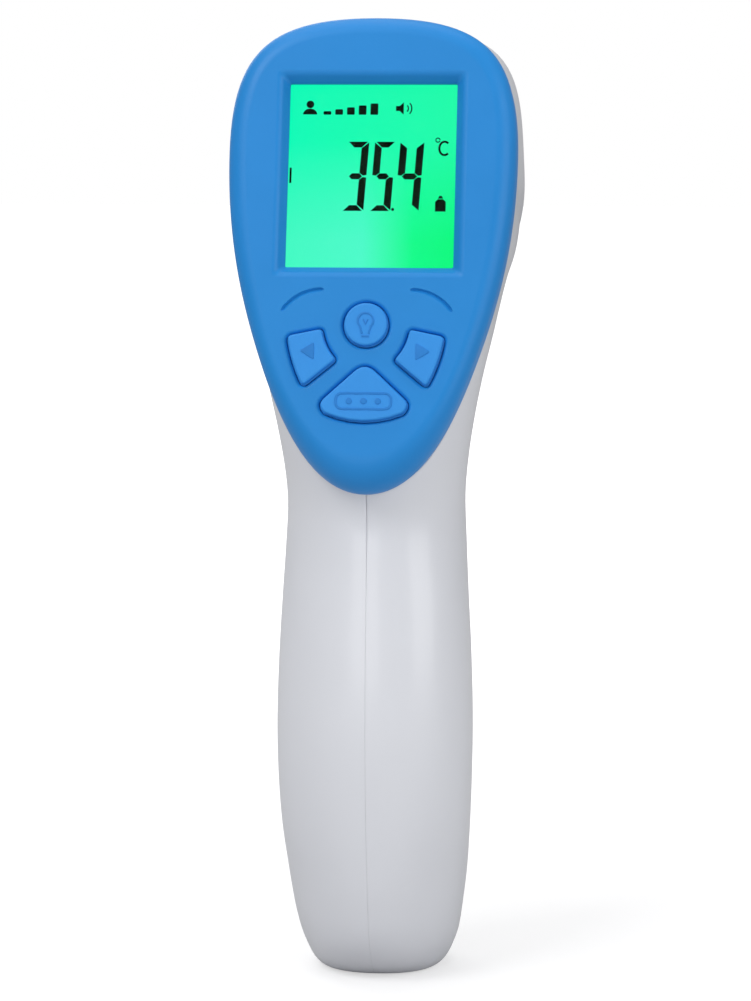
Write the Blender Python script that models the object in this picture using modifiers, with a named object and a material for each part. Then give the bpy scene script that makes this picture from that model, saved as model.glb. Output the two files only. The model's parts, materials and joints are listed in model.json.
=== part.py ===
"""Hand-held infrared thermometer, gun type, seen from its display side.

Frame: origin at the middle of the flat butt of the grip, +Z up, +X to the
user's right, -Y towards the user (display side), +Y along the barrel.
Lengths below are in millimetres; MM turns them into metres. The drawing's own
zero lies on the grip's centre line, and the last step moves everything so that
BUTT_CENTRE becomes the origin.
"""

import math

import bmesh
import bpy
import numpy as np
from mathutils import Matrix, Vector

MM = 0.001
NAME = "digital_thermometer"

# ---------------------------------------------------------------- dimensions
GAP = 0.3                       # clearance between neighbouring pieces
WALL = 2.0                      # moulded wall of the housing
SHELL_SIDES = 28                # points round one section of the housing

# Stations of the housing, butt to nose: rear/top point (y, z), front/under
# point (y, z), half-width, how boxy its rear and front halves are (2 = ellipse)
# and how far the widest line lies towards the front, in parts of the reach.
STATIONS = (
    (0.4, -2.0, 16.0, -2.0, 8.2, 2.3, 2.4, 0.0),
    (-1.4, -1.6, 17.7, -1.6, 9.8, 2.3, 2.4, 0.05),
    (-3.0, -0.8, 18.6, -0.8, 10.9, 2.3, 2.4, 0.12),
    (-4.8, 0.4, 19.1, 0.4, 11.7, 2.3, 2.4, 0.18),
    (-6.7, 2.0, 19.0, 2.0, 12.4, 2.3, 2.4, 0.24),
    (-8.6, 4.1, 18.2, 4.1, 13.1, 2.3, 2.4, 0.28),
    (-10.2, 6.7, 17.0, 6.7, 13.6, 2.3, 2.4, 0.28),
    (-11.5, 9.9, 16.3, 9.9, 14.1, 2.3, 2.4, 0.26),
    (-13.2, 15.5, 16.1, 15.5, 14.8, 2.3, 2.4, 0.22),
    (-14.9, 24.0, 15.9, 24.0, 15.5, 2.3, 2.4, 0.06),
    (-16.0, 33.0, 15.8, 33.0, 15.9, 2.3, 2.4, 0.0),
    (-16.4, 42.0, 15.9, 42.0, 16.0, 2.3, 2.4, 0.0),
    (-15.9, 52.0, 16.0, 52.5, 15.7, 2.3, 2.4, 0.0),
    (-14.9, 61.0, 16.0, 62.5, 15.2, 2.3, 2.4, 0.0),
    (-13.9, 69.0, 15.9, 72.0, 14.75, 2.3, 2.4, 0.05),
    (-13.5, 75.0, 15.8, 80.0, 14.5, 2.35, 2.4, 0.08),
    (-14.6, 80.0, 15.8, 87.0, 15.0, 2.4, 2.4, 0.12),
    (-17.2, 86.0, 16.4, 94.0, 16.0, 2.5, 2.4, 0.16),
    (-19.8, 93.5, 18.0, 100.0, 17.3, 2.7, 2.4, 0.18),
    (-21.2, 103.0, 20.8, 104.0, 18.7, 3.0, 2.4, 0.18),
    (-20.8, 114.0, 25.2, 106.2, 19.8, 3.4, 2.4, 0.14),
    (-18.6, 126.0, 28.8, 107.2, 20.9, 3.8, 2.4, 0.10),
    (-14.0, 138.0, 32.8, 107.6, 22.2, 4.0, 2.4, 0.05),
    (-6.5, 147.6, 36.2, 107.8, 22.6, 4.0, 2.4, 0.0),
    (3.5, 152.7, 39.4, 107.9, 22.7, 4.0, 2.4, 0.0),
    (14.4, 153.3, 42.5, 107.9, 22.2, 3.7, 2.4, 0.0),
    (25.0, 151.8, 45.6, 107.9, 21.1, 3.1, 2.35, 0.0),
    (35.5, 148.6, 48.8, 107.9, 19.5, 2.7, 2.25, 0.0),
    (45.5, 144.5, 52.2, 107.95, 17.8, 2.3, 2.1, 0.0),
    (52.8, 141.2, 55.4, 108.0, 16.6, 2.0, 2.0, 0.0),
    (58.0, 140.1, 58.0, 108.1, 16.0, 2.0, 2.0, 0.0),
)
NOSE_Z = 124.1                  # axis of the sensor and the nose ring
NOSE_Y = 58.0                   # front edge of the housing
BUTT_CENTRE = (0.0, 8.2, -2.0)  # middle of the flat butt, the frame's origin

PANEL_TILT = 15.0               # degrees the display face leans back
PANEL_ORIGIN = (0.0, -14.53, 106.67)   # centre of the lamp key, on the face
SEAT = -6.5                     # housing's flat seat, below the face plane
SKIRT = -6.2                    # lower edge of the bezel
FACE_BACK = -2.3                # underside of the bezel's face

# Bezel outline and its flat face, half of each as Bezier knots:
# (x, v, handle-in dx, dv, handle-out dx, dv), top to tip.
OUTLINE = (
    (0.0, 51.2, -17.7, 0.0, 17.7, 0.0),
    (23.2, 29.0, 0.0, 16.4, 0.0, -14.0),
    (16.5, -7.0, 4.1, 11.3, -2.9, -8.0),
    (0.0, -26.0, 8.6, 0.0, -8.6, 0.0),
)
FACE = (
    (0.0, 47.9, -16.0, 0.0, 16.0, 0.0),
    (19.9, 29.0, 0.0, 14.0, 0.0, -12.5),
    (14.3, -5.2, 3.6, 10.0, -2.2, -5.8),
    (0.0, -20.4, 7.6, 0.0, -7.6, 0.0),
)
STEPS = 8                       # points on each Bezier span
RIM_DROP = 3.0                  # how far the rim rolls down at the sides
TIP_DROP = 5.4                  # and at the tip

LCD_V = 25.05                   # centre of the display on the panel
LCD_HALF = (13.5, 15.05)        # visible display, half sizes
RECESS_HALF = (15.3, 16.6)      # chamfered recess at the face
RECESS_DEPTH = 1.8

LAMP_R = 3.6
KEY_RISE = 0.8                  # keys stand this far above the face
KEY_TRAVEL = 0.6
KEY_GAP = 0.5
SIDE_KEY = ((12.7, -1.8), (9.9, -10.2), (4.45, -5.7), (6.9, -0.6))     # corners of the right one
KEY_LIFT = 0.4                  # the keys' common centre above the panel's origin
MODE = (-6.6, 7.2, -13.1, 15.7)        # apex, corner x, corner v, bottom radius
GROOVE_FROM = (6.95, 6.1)       # decorative arc: its ends, its rise and its radius
GROOVE_TO = (13.6, 2.6)
GROOVE_SIDE = (0.44, 0.84)
GROOVE_R = 0.42
BOARD_TOP = -8.5
BOARD_BACK = -10.1
BOARD_SCREWS = ((8.0, 44.9), (-8.0, 44.9), (14.2, 4.5), (-14.2, 4.5))

TRIGGER_PIVOT = (11.5, 102.5)
TRIGGER_HALF = 5.0
TRIGGER_SIDE = (
    (23.2, 107.6), (22.4, 102.5), (21.5, 97.5), (21.3, 92.5), (22.3, 88.0),
    (24.2, 84.7), (24.9, 83.6), (24.0, 82.9), (20.5, 82.6), (14.2, 82.9),
    (13.4, 84.0), (13.4, 96.0), (11.6, 99.0), (7.0, 101.2), (-2.0, 102.2),
    (-2.4, 102.8), (-2.2, 104.4), (6.0, 105.0), (12.0, 106.0), (17.0, 107.8),
    (22.6, 108.2),
)

DOOR_HALF = 11.2
DOOR_Z = (9.3, 67.0)
HINGE = (16.2, 9.3)             # door hinge axis (y, z), along X
HINGE_R = 1.4

CELL_R = 5.25
CELL_X = 5.4
CELL_Y = 5.0

# Housing screws, driven from the left: y, z, and how far the floor of the
# counterbore lies from the parting plane.
CASE_SCREWS = (
    (3.5, 71.8, 10.0), (4.5, 89.5, 10.5), (9.0, 4.4, 9.0),
    (19.0, 143.5, 12.0), (40.0, 139.2, 10.0), (31.0, 114.2, 10.0),
)


# Turns a drawing in the XY plane into one in the YZ plane.
YZ_PLANE = Matrix(((0, 0, 1, 0), (1, 0, 0, 0), (0, 1, 0, 0), (0, 0, 0, 1)))


# ------------------------------------------------------------------- helpers
def clear_scene():
    for obj in list(bpy.data.objects):
        bpy.data.objects.remove(obj, do_unlink=True)


def collection(name, hidden=False):
    made = bpy.data.collections.new(name)
    bpy.context.scene.collection.children.link(made)
    made.hide_render = hidden
    return made


def material(name, colour, roughness, metallic=0.0, alpha=1.0):
    made = bpy.data.materials.new(name)
    made.use_nodes = True
    shader = made.node_tree.nodes["Principled BSDF"]
    shader.inputs["Base Color"].default_value = (*colour, 1.0)
    shader.inputs["Roughness"].default_value = roughness
    shader.inputs["Metallic"].default_value = metallic
    shader.inputs["Alpha"].default_value = alpha
    return made


def finish(bm, name, mat=None, parent=None, home=(0.0, 0.0, 0.0)):
    """Turns a bmesh in millimetres into an object whose origin is at home."""
    bmesh.ops.remove_doubles(bm, verts=bm.verts, dist=0.001)
    bmesh.ops.dissolve_degenerate(bm, edges=bm.edges, dist=0.0005)
    bmesh.ops.recalc_face_normals(bm, faces=bm.faces)
    bmesh.ops.translate(bm, verts=bm.verts, vec=-Vector(home))
    bmesh.ops.scale(bm, verts=bm.verts, vec=(MM, MM, MM))
    mesh = bpy.data.meshes.new(name)
    bm.to_mesh(mesh)
    bm.free()
    obj = bpy.data.objects.new(name, mesh)
    obj.location = Vector(home) * MM
    obj.parent = parent
    mesh.shade_smooth()
    mesh.set_sharp_from_angle(angle=math.radians(35.0))
    if mat is None:
        obj.hide_render = True
        obj.display_type = "WIRE"
        CUTTERS.objects.link(obj)
    else:
        mesh.materials.append(mat)
        PARTS.objects.link(obj)
    return obj


def turn_to(axis):
    """Rotation that takes +Z to the named axis."""
    return {
        "X": Matrix.Rotation(math.radians(90.0), 4, "Y"),
        "Y": Matrix.Rotation(math.radians(-90.0), 4, "X"),
        "Z": Matrix.Identity(4),
    }[axis]


def add_cylinder(bm, centre, radius, length, axis="Z", sides=20):
    place = Matrix.Translation(centre) @ turn_to(axis)
    bmesh.ops.create_cone(
        bm, cap_ends=True, segments=sides, radius1=radius, radius2=radius,
        depth=length, matrix=place,
    )


def add_box(bm, low, high):
    low, high = Vector(low), Vector(high)
    place = Matrix.Translation((low + high) / 2) @ Matrix.Diagonal((*(high - low), 1.0))
    bmesh.ops.create_cube(bm, size=1.0, matrix=place)


def cylinders(name, items, mat=None, **place):
    bm = bmesh.new()
    for item in items:
        add_cylinder(bm, *item)
    return finish(bm, name, mat, **place)


def boxes(name, items, mat=None, **place):
    bm = bmesh.new()
    for low, high in items:
        add_box(bm, low, high)
    return finish(bm, name, mat, **place)


def loft(name, rings, mat=None, ends=(True, True), **place):
    """Skins a row of closed rings that have the same number of points."""
    bm = bmesh.new()
    rows = [[bm.verts.new(tuple(p)) for p in ring] for ring in rings]
    count = len(rows[0])
    for lower, upper in zip(rows, rows[1:]):
        for i in range(count):
            j = (i + 1) % count
            bm.faces.new((lower[i], lower[j], upper[j], upper[i]))
    if ends[0]:
        bm.faces.new(rows[0])
    if ends[1]:
        bm.faces.new(rows[-1])
    return finish(bm, name, mat, **place)


def ring_area(outline):
    """Signed area of a closed outline of (x, y) points, positive when anticlockwise."""
    x, y = np.asarray(outline, float).T
    return np.sum(x * np.roll(y, -1) - np.roll(x, -1) * y) / 2.0


def turned(name, profile, mat=None, axis="Y", centre=(0, 0, 0), sides=32, **place):
    """Turns a profile of (radius, height) points about an axis with a Screw modifier."""
    if ring_area(profile) > 0.0:
        profile = profile[::-1]
    bm = bmesh.new()
    verts = [bm.verts.new((r, 0.0, h)) for r, h in profile]
    for a, b in zip(verts, verts[1:]):
        bm.edges.new((a, b))
    if profile[0][0] > 0.0:
        bm.edges.new((verts[-1], verts[0]))
    obj = finish(bm, name, mat, **place)
    obj.matrix_local = Matrix.Translation(Vector(centre) * MM) @ turn_to(axis)
    mod = obj.modifiers.new("Turn", "SCREW")
    mod.axis = "Z"
    mod.steps = sides
    mod.render_steps = sides
    mod.use_merge_vertices = True
    mod.merge_threshold = 0.00001
    mod.use_smooth_shade = True
    return obj


def plate(name, outline, low, high, mat=None, turn=None, **place):
    """A flat outline of (x, y) points, drawn up from low to high."""
    curve = bpy.data.curves.new(name, "CURVE")
    curve.dimensions = "2D"
    curve.fill_mode = "BOTH"
    curve.extrude = (high - low) / 2.0
    curve.render_resolution_u = 0
    spline = curve.splines.new("POLY")
    spline.points.add(len(outline) - 1)
    for knot, (x, y) in zip(spline.points, outline):
        knot.co = (x, y, 0.0, 1.0)
    spline.use_cyclic_u = True
    drawing = bpy.data.objects.new(name + "_outline", curve)
    mesh = bpy.data.meshes.new_from_object(drawing)
    bpy.data.objects.remove(drawing)
    bm = bmesh.new()
    bm.from_mesh(mesh)
    bpy.data.meshes.remove(mesh)
    bmesh.ops.translate(bm, verts=bm.verts, vec=(0.0, 0.0, (low + high) / 2.0))
    if turn is not None:
        bmesh.ops.transform(bm, matrix=turn, verts=bm.verts)
    return finish(bm, name, mat, **place)


def side_plate(name, outline, x_low, x_high, mat=None, **place):
    """A flat outline of (y, z) points, drawn along X."""
    return plate(name, outline, x_low, x_high, mat, turn=YZ_PLANE, **place)


def wire(name, points, radius, mat, resolution=2):
    """Round wire along a row of points, as a curve with a bevel."""
    curve = bpy.data.curves.new(name, "CURVE")
    curve.dimensions = "3D"
    curve.bevel_depth = radius * MM
    curve.bevel_resolution = resolution
    curve.render_resolution_u = 0
    curve.use_fill_caps = True
    spline = curve.splines.new("POLY")
    spline.points.add(len(points) - 1)
    for knot, place in zip(spline.points, points):
        knot.co = (*(Vector(place) * MM), 1.0)
    curve.materials.append(mat)
    obj = bpy.data.objects.new(name, curve)
    PARTS.objects.link(obj)
    return obj


def smooth_path(points, steps=5):
    """Catmull-Rom curve through the points."""
    p = [Vector(points[0]), *map(Vector, points), Vector(points[-1])]
    path = []
    for a, b, c, d in zip(p, p[1:], p[2:], p[3:]):
        for t in np.linspace(0.0, 1.0, steps, endpoint=False):
            path.append(0.5 * (
                2 * b + (c - a) * t + (2 * a - 5 * b + 4 * c - d) * t ** 2
                + (3 * b - a - 3 * c + d) * t ** 3
            ))
    return [*path, p[-1]]


def coil(x, y, z_low, z_high, radius, turns, steps=12):
    count = int(turns * steps) + 1
    return [
        (
            x + radius * math.cos(math.tau * i / steps),
            y + radius * math.sin(math.tau * i / steps),
            z_low + (z_high - z_low) * i / (count - 1),
        )
        for i in range(count)
    ]


def boolean(obj, tool, operation="DIFFERENCE"):
    mod = obj.modifiers.new(operation.title() + " " + tool.name, "BOOLEAN")
    mod.operation = operation
    mod.solver = "EXACT"
    mod.object = tool
    return obj


def round_edges(obj, width, segments=2, angle=40.0):
    mod = obj.modifiers.new("Bevel", "BEVEL")
    mod.width = width * MM
    mod.segments = segments
    mod.limit_method = "ANGLE"
    mod.angle_limit = math.radians(angle)
    return obj


# ------------------------------------------------------------------ outlines
def bezier_half(knots, steps=STEPS):
    """Points of a chain of Bezier spans, first knot to last."""
    out = []
    for (x0, v0, _, _, ox, ov), (x1, v1, ix, iv, _, _) in zip(knots, knots[1:]):
        a, b = np.array((x0, v0)), np.array((x0 + ox, v0 + ov))
        c, d = np.array((x1 + ix, v1 + iv)), np.array((x1, v1))
        for t in np.arange(steps) / steps:
            s = 1.0 - t
            out.append(s**3 * a + 3 * s * s * t * b + 3 * s * t * t * c + t**3 * d)
    out.append(np.array(knots[-1][:2], float))
    return out


def closed_outline(knots):
    right = bezier_half(knots)
    left = [np.array((-x, v)) for x, v in right[-2:0:-1]]
    return np.array(right + left)


def inset(outline, distance):
    """Moves a closed outline inwards along its normals."""
    outline = np.asarray(outline, float)
    along = np.roll(outline, -1, 0) - np.roll(outline, 1, 0)
    normal = np.stack([along[:, 1], -along[:, 0]], 1)
    normal /= np.linalg.norm(normal, axis=1)[:, None]
    return outline - normal * distance * np.sign(ring_area(outline))


def rounded(corners, radius, steps=4):
    """Closed outline with its corners rounded off by the given radii."""
    corners = [Vector((*c, 0.0)) for c in corners]
    radii = radius if isinstance(radius, (list, tuple)) else [radius] * len(corners)
    out = []
    for i, here in enumerate(corners):
        back = (corners[i - 1] - here).normalized()
        ahead = (corners[(i + 1) % len(corners)] - here).normalized()
        reach = radii[i] / math.tan(back.angle(ahead) / 2.0)
        a, b = here + back * reach, here + ahead * reach
        for t in np.linspace(0.0, 1.0, steps + 1):
            q = a * (1 - t) ** 2 + here * 2 * t * (1 - t) + b * t**2
            out.append((q.x, q.y))
    return out


def rectangle(half_x, half_y, radius=0.0, centre=(0.0, 0.0), steps=3):
    cx, cy = centre
    corners = [(cx + sx * half_x, cy + sy * half_y) for sx, sy in ((1, 1), (-1, 1), (-1, -1), (1, -1))]
    return rounded(corners, radius, steps) if radius else corners


def circle(radius, sides=28, centre=(0.0, 0.0)):
    return [
        (centre[0] + radius * math.cos(a), centre[1] + radius * math.sin(a))
        for a in np.linspace(0.0, math.tau, sides, endpoint=False)
    ]


def side_key_outline(side):
    """Side key: hollow along the round key, full along the outside, straight above and below."""
    upper, lower, inner_low, inner_top = np.array(SIDE_KEY)
    raw = bowed(upper, lower, 0.4, 9) + bowed(inner_low, inner_top, -0.5, 7)
    radii = [0.9] + [0.0] * 7 + [1.0, 0.6] + [0.0] * 5 + [0.6]
    out = [(side * x, v) for x, v in soften(raw, radii)]
    return out if side > 0 else out[::-1]


def bowed(start, end, bow, count):
    """Points from start to end along a shallow arc that bows to the left by bow."""
    along = end - start
    left = np.array((-along[1], along[0])) / np.linalg.norm(along)
    return [start + along * t + left * 4.0 * bow * t * (1.0 - t) for t in np.linspace(0.0, 1.0, count)]


def soften(points, radii):
    """Replaces the points that have a radius with a short rounded corner."""
    out = []
    for i, (p, r) in enumerate(zip(points, radii)):
        if not r:
            out.append(p)
            continue
        here = Vector((*p, 0.0))
        a = Vector((*points[i - 1], 0.0)) - here
        b = Vector((*points[(i + 1) % len(points)], 0.0)) - here
        a = here + a.normalized() * min(r, a.length * 0.9)
        b = here + b.normalized() * min(r, b.length * 0.9)
        for t in (0.0, 0.33, 0.67, 1.0):
            q = a * (1 - t) ** 2 + here * 2 * t * (1 - t) + b * t**2
            out.append((q.x, q.y))
    return out


def mode_outline():
    """Mode key: a rounded triangle whose base is an arc about the lamp key."""
    apex, corner_x, corner_v, radius = MODE
    reach = math.asin((corner_x - 0.9) / radius)
    base = [(radius * math.sin(a), -radius * math.cos(a)) for a in np.linspace(reach, -reach, 7)]
    lift = apex + 0.75
    raw = [(0.0, lift), (corner_x + 0.35, corner_v + 0.25), *base, (-corner_x - 0.35, corner_v + 0.25)]
    radii = [2.4, 1.5] + [0.0] * len(base) + [1.5]
    return soften(raw, radii)[::-1]


def lifted(outline):
    """The same outline, moved up the panel to the keys' common centre."""
    return [(x, v + KEY_LIFT) for x, v in outline]


# ------------------------------------------------------------------- housing
def section(station, inset_by=0.0):
    rear_y, rear_z, front_y, front_z, half, rear_box, front_box, shift = station
    rear, front = np.array((rear_y, rear_z)), np.array((front_y, front_z))
    middle, reach = (rear + front) / 2, (rear - front) / 2
    reach *= 1.0 - inset_by / np.linalg.norm(reach)
    half -= inset_by
    ring = []
    for i in range(SHELL_SIDES):
        a = math.tau * (i + 0.5) / SHELL_SIDES
        c, s = math.cos(a), math.sin(a)
        power = rear_box if c > 0.0 else front_box
        d = math.copysign(abs(c) ** (2.0 / power), c) - shift * s * s
        y, z = middle + reach * d
        ring.append((half * math.copysign(abs(s) ** (2.0 / power), s), y, z))
    return ring


def shell_surface(name, mat, ends, inset_by=0.0):
    return loft(name, [section(s, inset_by) for s in STATIONS], mat, ends=ends)


def hollow(name, mat):
    """The whole housing wall, open at the nose."""
    obj = shell_surface(name, mat, (True, False))
    mod = obj.modifiers.new("Wall", "SOLIDIFY")
    mod.thickness = WALL * MM
    mod.offset = -1.0
    mod.use_even_offset = True
    mod.use_rim = True
    obj.modifiers.new("Flat faces", "TRIANGULATE")
    return obj


def make_housings(core, panel):
    """Both moulded halves, cut from one wall at the parting plane."""
    half_space = {
        "right_housing": boxes("cut_left_side", [((-60, -60, -20), (GAP / 2, 120, 200))]),
        "left_housing": boxes("cut_right_side", [((-GAP / 2, -60, -20), (60, 120, 200))]),
    }
    slot_half, door_half = TRIGGER_HALF + GAP, DOOR_HALF + GAP
    seat = boxes("cut_seat", [((-40, -29.5, SEAT), (40, 70, 40))], parent=panel)
    slot = boxes("cut_trigger_slot", [((-slot_half, 9.0, 81.0), (slot_half, 24.5, 110.0))])
    door = boxes("cut_door", [
        ((-door_half, 5.5, DOOR_Z[0] - GAP), (door_half, 30, DOOR_Z[1] + GAP)),
    ])
    knuckle = cylinders("cut_knuckle", [((0, *HINGE), HINGE_R + 0.35, 6.6, "X")])
    made = []
    for name, side in (("right_housing", 1), ("left_housing", -1)):
        obj = hollow(name, SHELL_WHITE)
        boolean(obj, half_space[name])
        boolean(obj, seat)
        boolean(obj, slot)
        boolean(obj, door)
        boolean(obj, knuckle)
        boolean(obj, housing_bosses(name, side, core), "UNION")
        boolean(obj, boxes(name + "_groove", [on_side(side, (6.0, 2.6, 108.6), (10.0, 9.9, 110.6))]))
        boolean(obj, hinge_lug(name, side), "UNION")
        boolean(obj, housing_holes(name, side))
        if side < 0:
            boolean(obj, counterbores())
        made.append(obj)
    return made


def on_side(side, low, high):
    """A box given for the right side, on the asked side."""
    xs = sorted((side * low[0], side * high[0]))
    return (xs[0], *low[1:]), (xs[1], *high[1:])


def housing_bosses(name, side, core):
    bm = bmesh.new()
    for y, z, _ in CASE_SCREWS:
        add_cylinder(bm, (side * (GAP / 2 + 15.0), y, z), 2.9, 30.0, "X", 16)
    add_cylinder(bm, (side * (TRIGGER_HALF + GAP + 15.0), *TRIGGER_PIVOT), 3.2, 30.0, "X", 16)
    add_box(bm, *on_side(side, (7.0, 2.9, 106.9), (30.0, 9.6, 112.4)))
    add_box(bm, *on_side(side, (GAP / 2, -1.8, 110.6), (30.0, 2.6, 112.0)))
    bosses = finish(bm, name + "_bosses")
    return boolean(bosses, core, "INTERSECT")


def hinge_lug(name, side):
    return cylinders(name + "_lug", [((side * 4.9, *HINGE), HINGE_R, 2.6, "X", 16)])


def housing_holes(name, side):
    bm = bmesh.new()
    for y, z, floor in CASE_SCREWS:
        low, high = (-4.0, 8.5) if side > 0 else (-floor - 1.0, 4.0)
        add_cylinder(bm, ((low + high) / 2, y, z), 1.4, high - low, "X", 12)
    add_cylinder(bm, (0.0, *TRIGGER_PIVOT), 1.7, 18.6, "X", 14)
    add_cylinder(bm, (0.0, *HINGE), 0.85, 11.8, "X", 12)
    return finish(bm, name + "_holes")


def counterbores():
    items = [((-floor - 10.0, y, z), 2.6, 20.0, "X", 16) for y, z, floor in CASE_SCREWS]
    return cylinders("cut_counterbores", items)


def make_door():
    """Battery door: a piece of the same wall, with a knuckle at its foot."""
    obj = hollow("battery_door", SHELL_WHITE)
    block = boxes("keep_door", [((-DOOR_HALF, 5.5, DOOR_Z[0]), (DOOR_HALF, 30, DOOR_Z[1]))])
    boolean(obj, block, "INTERSECT")
    boolean(obj, cylinders("door_knuckle", [((0, *HINGE), HINGE_R, 6.0, "X", 16)]), "UNION")
    lugs = [((s * 4.9, *HINGE), HINGE_R + 0.35, 3.2, "X") for s in (1, -1)]
    boolean(obj, cylinders("cut_lugs", lugs))
    ridges = []
    for i in range(3):
        half, z = 4.5 - 0.6 * i, 56.4 + 1.9 * i
        ridges.append(((-half, 15.3, z), (half, 17.0, z + 0.8)))
    boolean(obj, boxes("cut_door_ridges", ridges))
    boolean(obj, cylinders("cut_door_pin", [((0, *HINGE), 0.85, 6.8, "X", 12)]))
    set_origin(obj, (0, *HINGE))
    return obj


def set_origin(obj, home):
    """Moves the object's origin to a point, leaving its shape in place."""
    shift = Vector(home) * MM - obj.location
    obj.data.transform(Matrix.Translation(-shift))
    obj.location += shift


# --------------------------------------------------------------------- panel
def rim_drop(v):
    towards_tip = min(max((-v - 4.0) / 22.0, 0.0), 1.0)
    eased = towards_tip * towards_tip * (3.0 - 2.0 * towards_tip)
    return RIM_DROP + (TIP_DROP - RIM_DROP) * eased


def make_bezel(panel):
    outer, face = closed_outline(OUTLINE), closed_outline(FACE)
    rings = [[(x, v, SKIRT) for x, v in outer]]
    for angle in np.radians((0.0, 24.0, 46.0, 68.0, 90.0)):
        out = 1.0 - math.cos(angle)
        up = 1.0 - math.sin(angle)
        ring = []
        for (x0, v0), (x1, v1) in zip(outer, face):
            ring.append((x0 + (x1 - x0) * out, v0 + (v1 - v0) * out, -rim_drop(v0) * up))
        rings.append(ring)
    obj = loft("rear_bezel", rings, BEZEL_BLUE, parent=panel)
    pocket = [
        [(x, v, SKIRT - 1.0) for x, v in inset(outer, 1.9)],
        [(x, v, SKIRT + 0.6) for x, v in inset(outer, 2.1)],
        [(x, v, FACE_BACK) for x, v in inset(face, 0.6)],
    ]
    boolean(obj, loft("cut_bezel_pocket", pocket, parent=panel))
    posts = [((x, v, -4.95), 1.7, 6.5, "Z", 16) for x, v in BOARD_SCREWS]
    boolean(obj, cylinders("bezel_posts", posts, parent=panel), "UNION")
    boolean(obj, window_cutter(panel))
    for key, outline in KEYS.items():
        hole = inset(outline, -KEY_GAP)
        boolean(obj, plate("cut_" + key, hole, FACE_BACK - 1.0, 2.0, parent=panel))
    for side in (1, -1):
        boolean(obj, groove_cutter(side, panel))
    holes = [((x, v, -7.0), 0.85, 6.4, "Z", 12) for x, v in BOARD_SCREWS]
    boolean(obj, cylinders("cut_bezel_screws", holes, parent=panel))
    return obj


def window_cutter(panel):
    rings = []
    slope = [(r - l) / RECESS_DEPTH for r, l in zip(RECESS_HALF, LCD_HALF)]
    for h in (0.6, -RECESS_DEPTH, FACE_BACK - 1.0):
        grow = max(RECESS_DEPTH + h, 0.0)
        half = [l + s * grow for l, s in zip(LCD_HALF, slope)]
        rings.append([(x, v, h) for x, v in rectangle(*half, 0.9, (0.0, LCD_V))])
    return loft("cut_window", rings, parent=panel)


def groove_cutter(side, panel):
    """Shallow decorative arc above each side key."""
    start, end, out = (np.array(p) for p in (GROOVE_FROM, GROOVE_TO, GROOVE_SIDE))
    rings = []
    for t in np.linspace(0.0, 1.0, 9):
        x, v = start + (end - start) * t + out * 4.0 * t * (1.0 - t)
        rings.append([
            (side * (x + out[0] * GROOVE_R * c), v + out[1] * GROOVE_R * c, 0.05 + GROOVE_R * s)
            for c, s in circle(1.0, 6)
        ])
    return loft("cut_arc_%s" % ("right" if side > 0 else "left"), rings, parent=panel)


def make_key(name, outline, centre, panel):
    rings = []
    for h, grow in (
        (-3.4, 0.75), (-2.6, 0.75), (-2.6, 0.0), (KEY_RISE - 0.35, 0.0),
        (KEY_RISE - 0.1, -0.22), (KEY_RISE, -0.6),
    ):
        rings.append([(x, v, h) for x, v in inset(outline, -grow)])
    home = (*centre, 0.0)
    key = loft(name, rings, KEY_BLUE, parent=panel, home=home)
    short = name.replace("key_", "")
    x, v = centre
    stem = [((x, v, -4.55), 1.0, 1.7, "Z", 12)]
    cylinders("plunger_" + short, stem, SWITCH_BLACK, parent=panel, home=home)
    case = [((x - 2.2, v - 2.2, -8.2), (x + 2.2, v + 2.2, -5.8))]
    body = boxes("switch_" + short, case, STEEL, parent=panel)
    well = [((x, v, -5.8), 1.35, 2.6, "Z", 12)]
    boolean(body, cylinders("cut_switch_" + short, well, parent=panel))
    return key


def make_display(panel):
    """Window, display glass and light guide, one behind the other in a frame."""
    layers = (
        ("display_window", 15.0, 16.5, -3.4, -2.6, CLEAR),
        ("lcd_glass", 14.7, 16.2, -5.3, -3.7, LCD_GREEN),
        ("lcd_backlight", 14.7, 16.2, -8.1, -5.6, DIFFUSER),
    )
    for name, half_x, half_v, low, high, mat in layers:
        sheet = ((-half_x, LCD_V - half_v, low), (half_x, LCD_V + half_v, high))
        boxes(name, [sheet], mat, parent=panel)
    outline = rectangle(16.3, 17.8, 0.8, (0, LCD_V))
    frame = plate("lcd_frame", outline, -8.2, -2.6, SWITCH_BLACK, parent=panel)
    inside = ((-15.3, LCD_V - 16.8, -9.0), (15.3, LCD_V + 16.8, -1.0))
    boolean(frame, boxes("cut_lcd_frame", [inside], parent=panel))


def make_board(panel):
    side = (
        (8.0, 47.0), (14.5, 44.6), (18.0, 39.0), (18.4, 28.0),
        (17.2, 14.0), (15.8, 4.0), (10.6, -9.5), (7.0, -18.5),
    )
    outline = list(side) + [(-x, v) for x, v in reversed(side)]
    board = plate("main_board", outline[::-1], BOARD_BACK, BOARD_TOP, BOARD_GREEN, parent=panel)
    holes = [((x, v, -9.3), 0.95, 4.0, "Z", 12) for x, v in BOARD_SCREWS]
    boolean(board, cylinders("cut_board", holes, parent=panel))
    boxes("controller_chip", [((1.0, 10.0, -12.0), (11.0, 20.0, -10.4))], CHIP, parent=panel)
    buzzer = cylinders("buzzer", [((-8.0, 33.0, -12.1), 6.0, 3.4, "Z", 28)], CHIP, parent=panel)
    boolean(buzzer, cylinders("cut_buzzer", [((-8.0, 33.0, -13.4), 1.2, 2.6, "Z", 12)], parent=panel))
    for i, (x, v) in enumerate(BOARD_SCREWS):
        turned("board_screw_%d" % (i + 1), (
            (0.0, -5.6), (0.6, -5.6), (0.6, -10.4), (1.5, -10.4), (1.5, -11.2), (1.1, -11.6),
            (0.0, -11.6),
        ), STEEL, "Z", (x, v, 0), 12, parent=panel)


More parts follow.
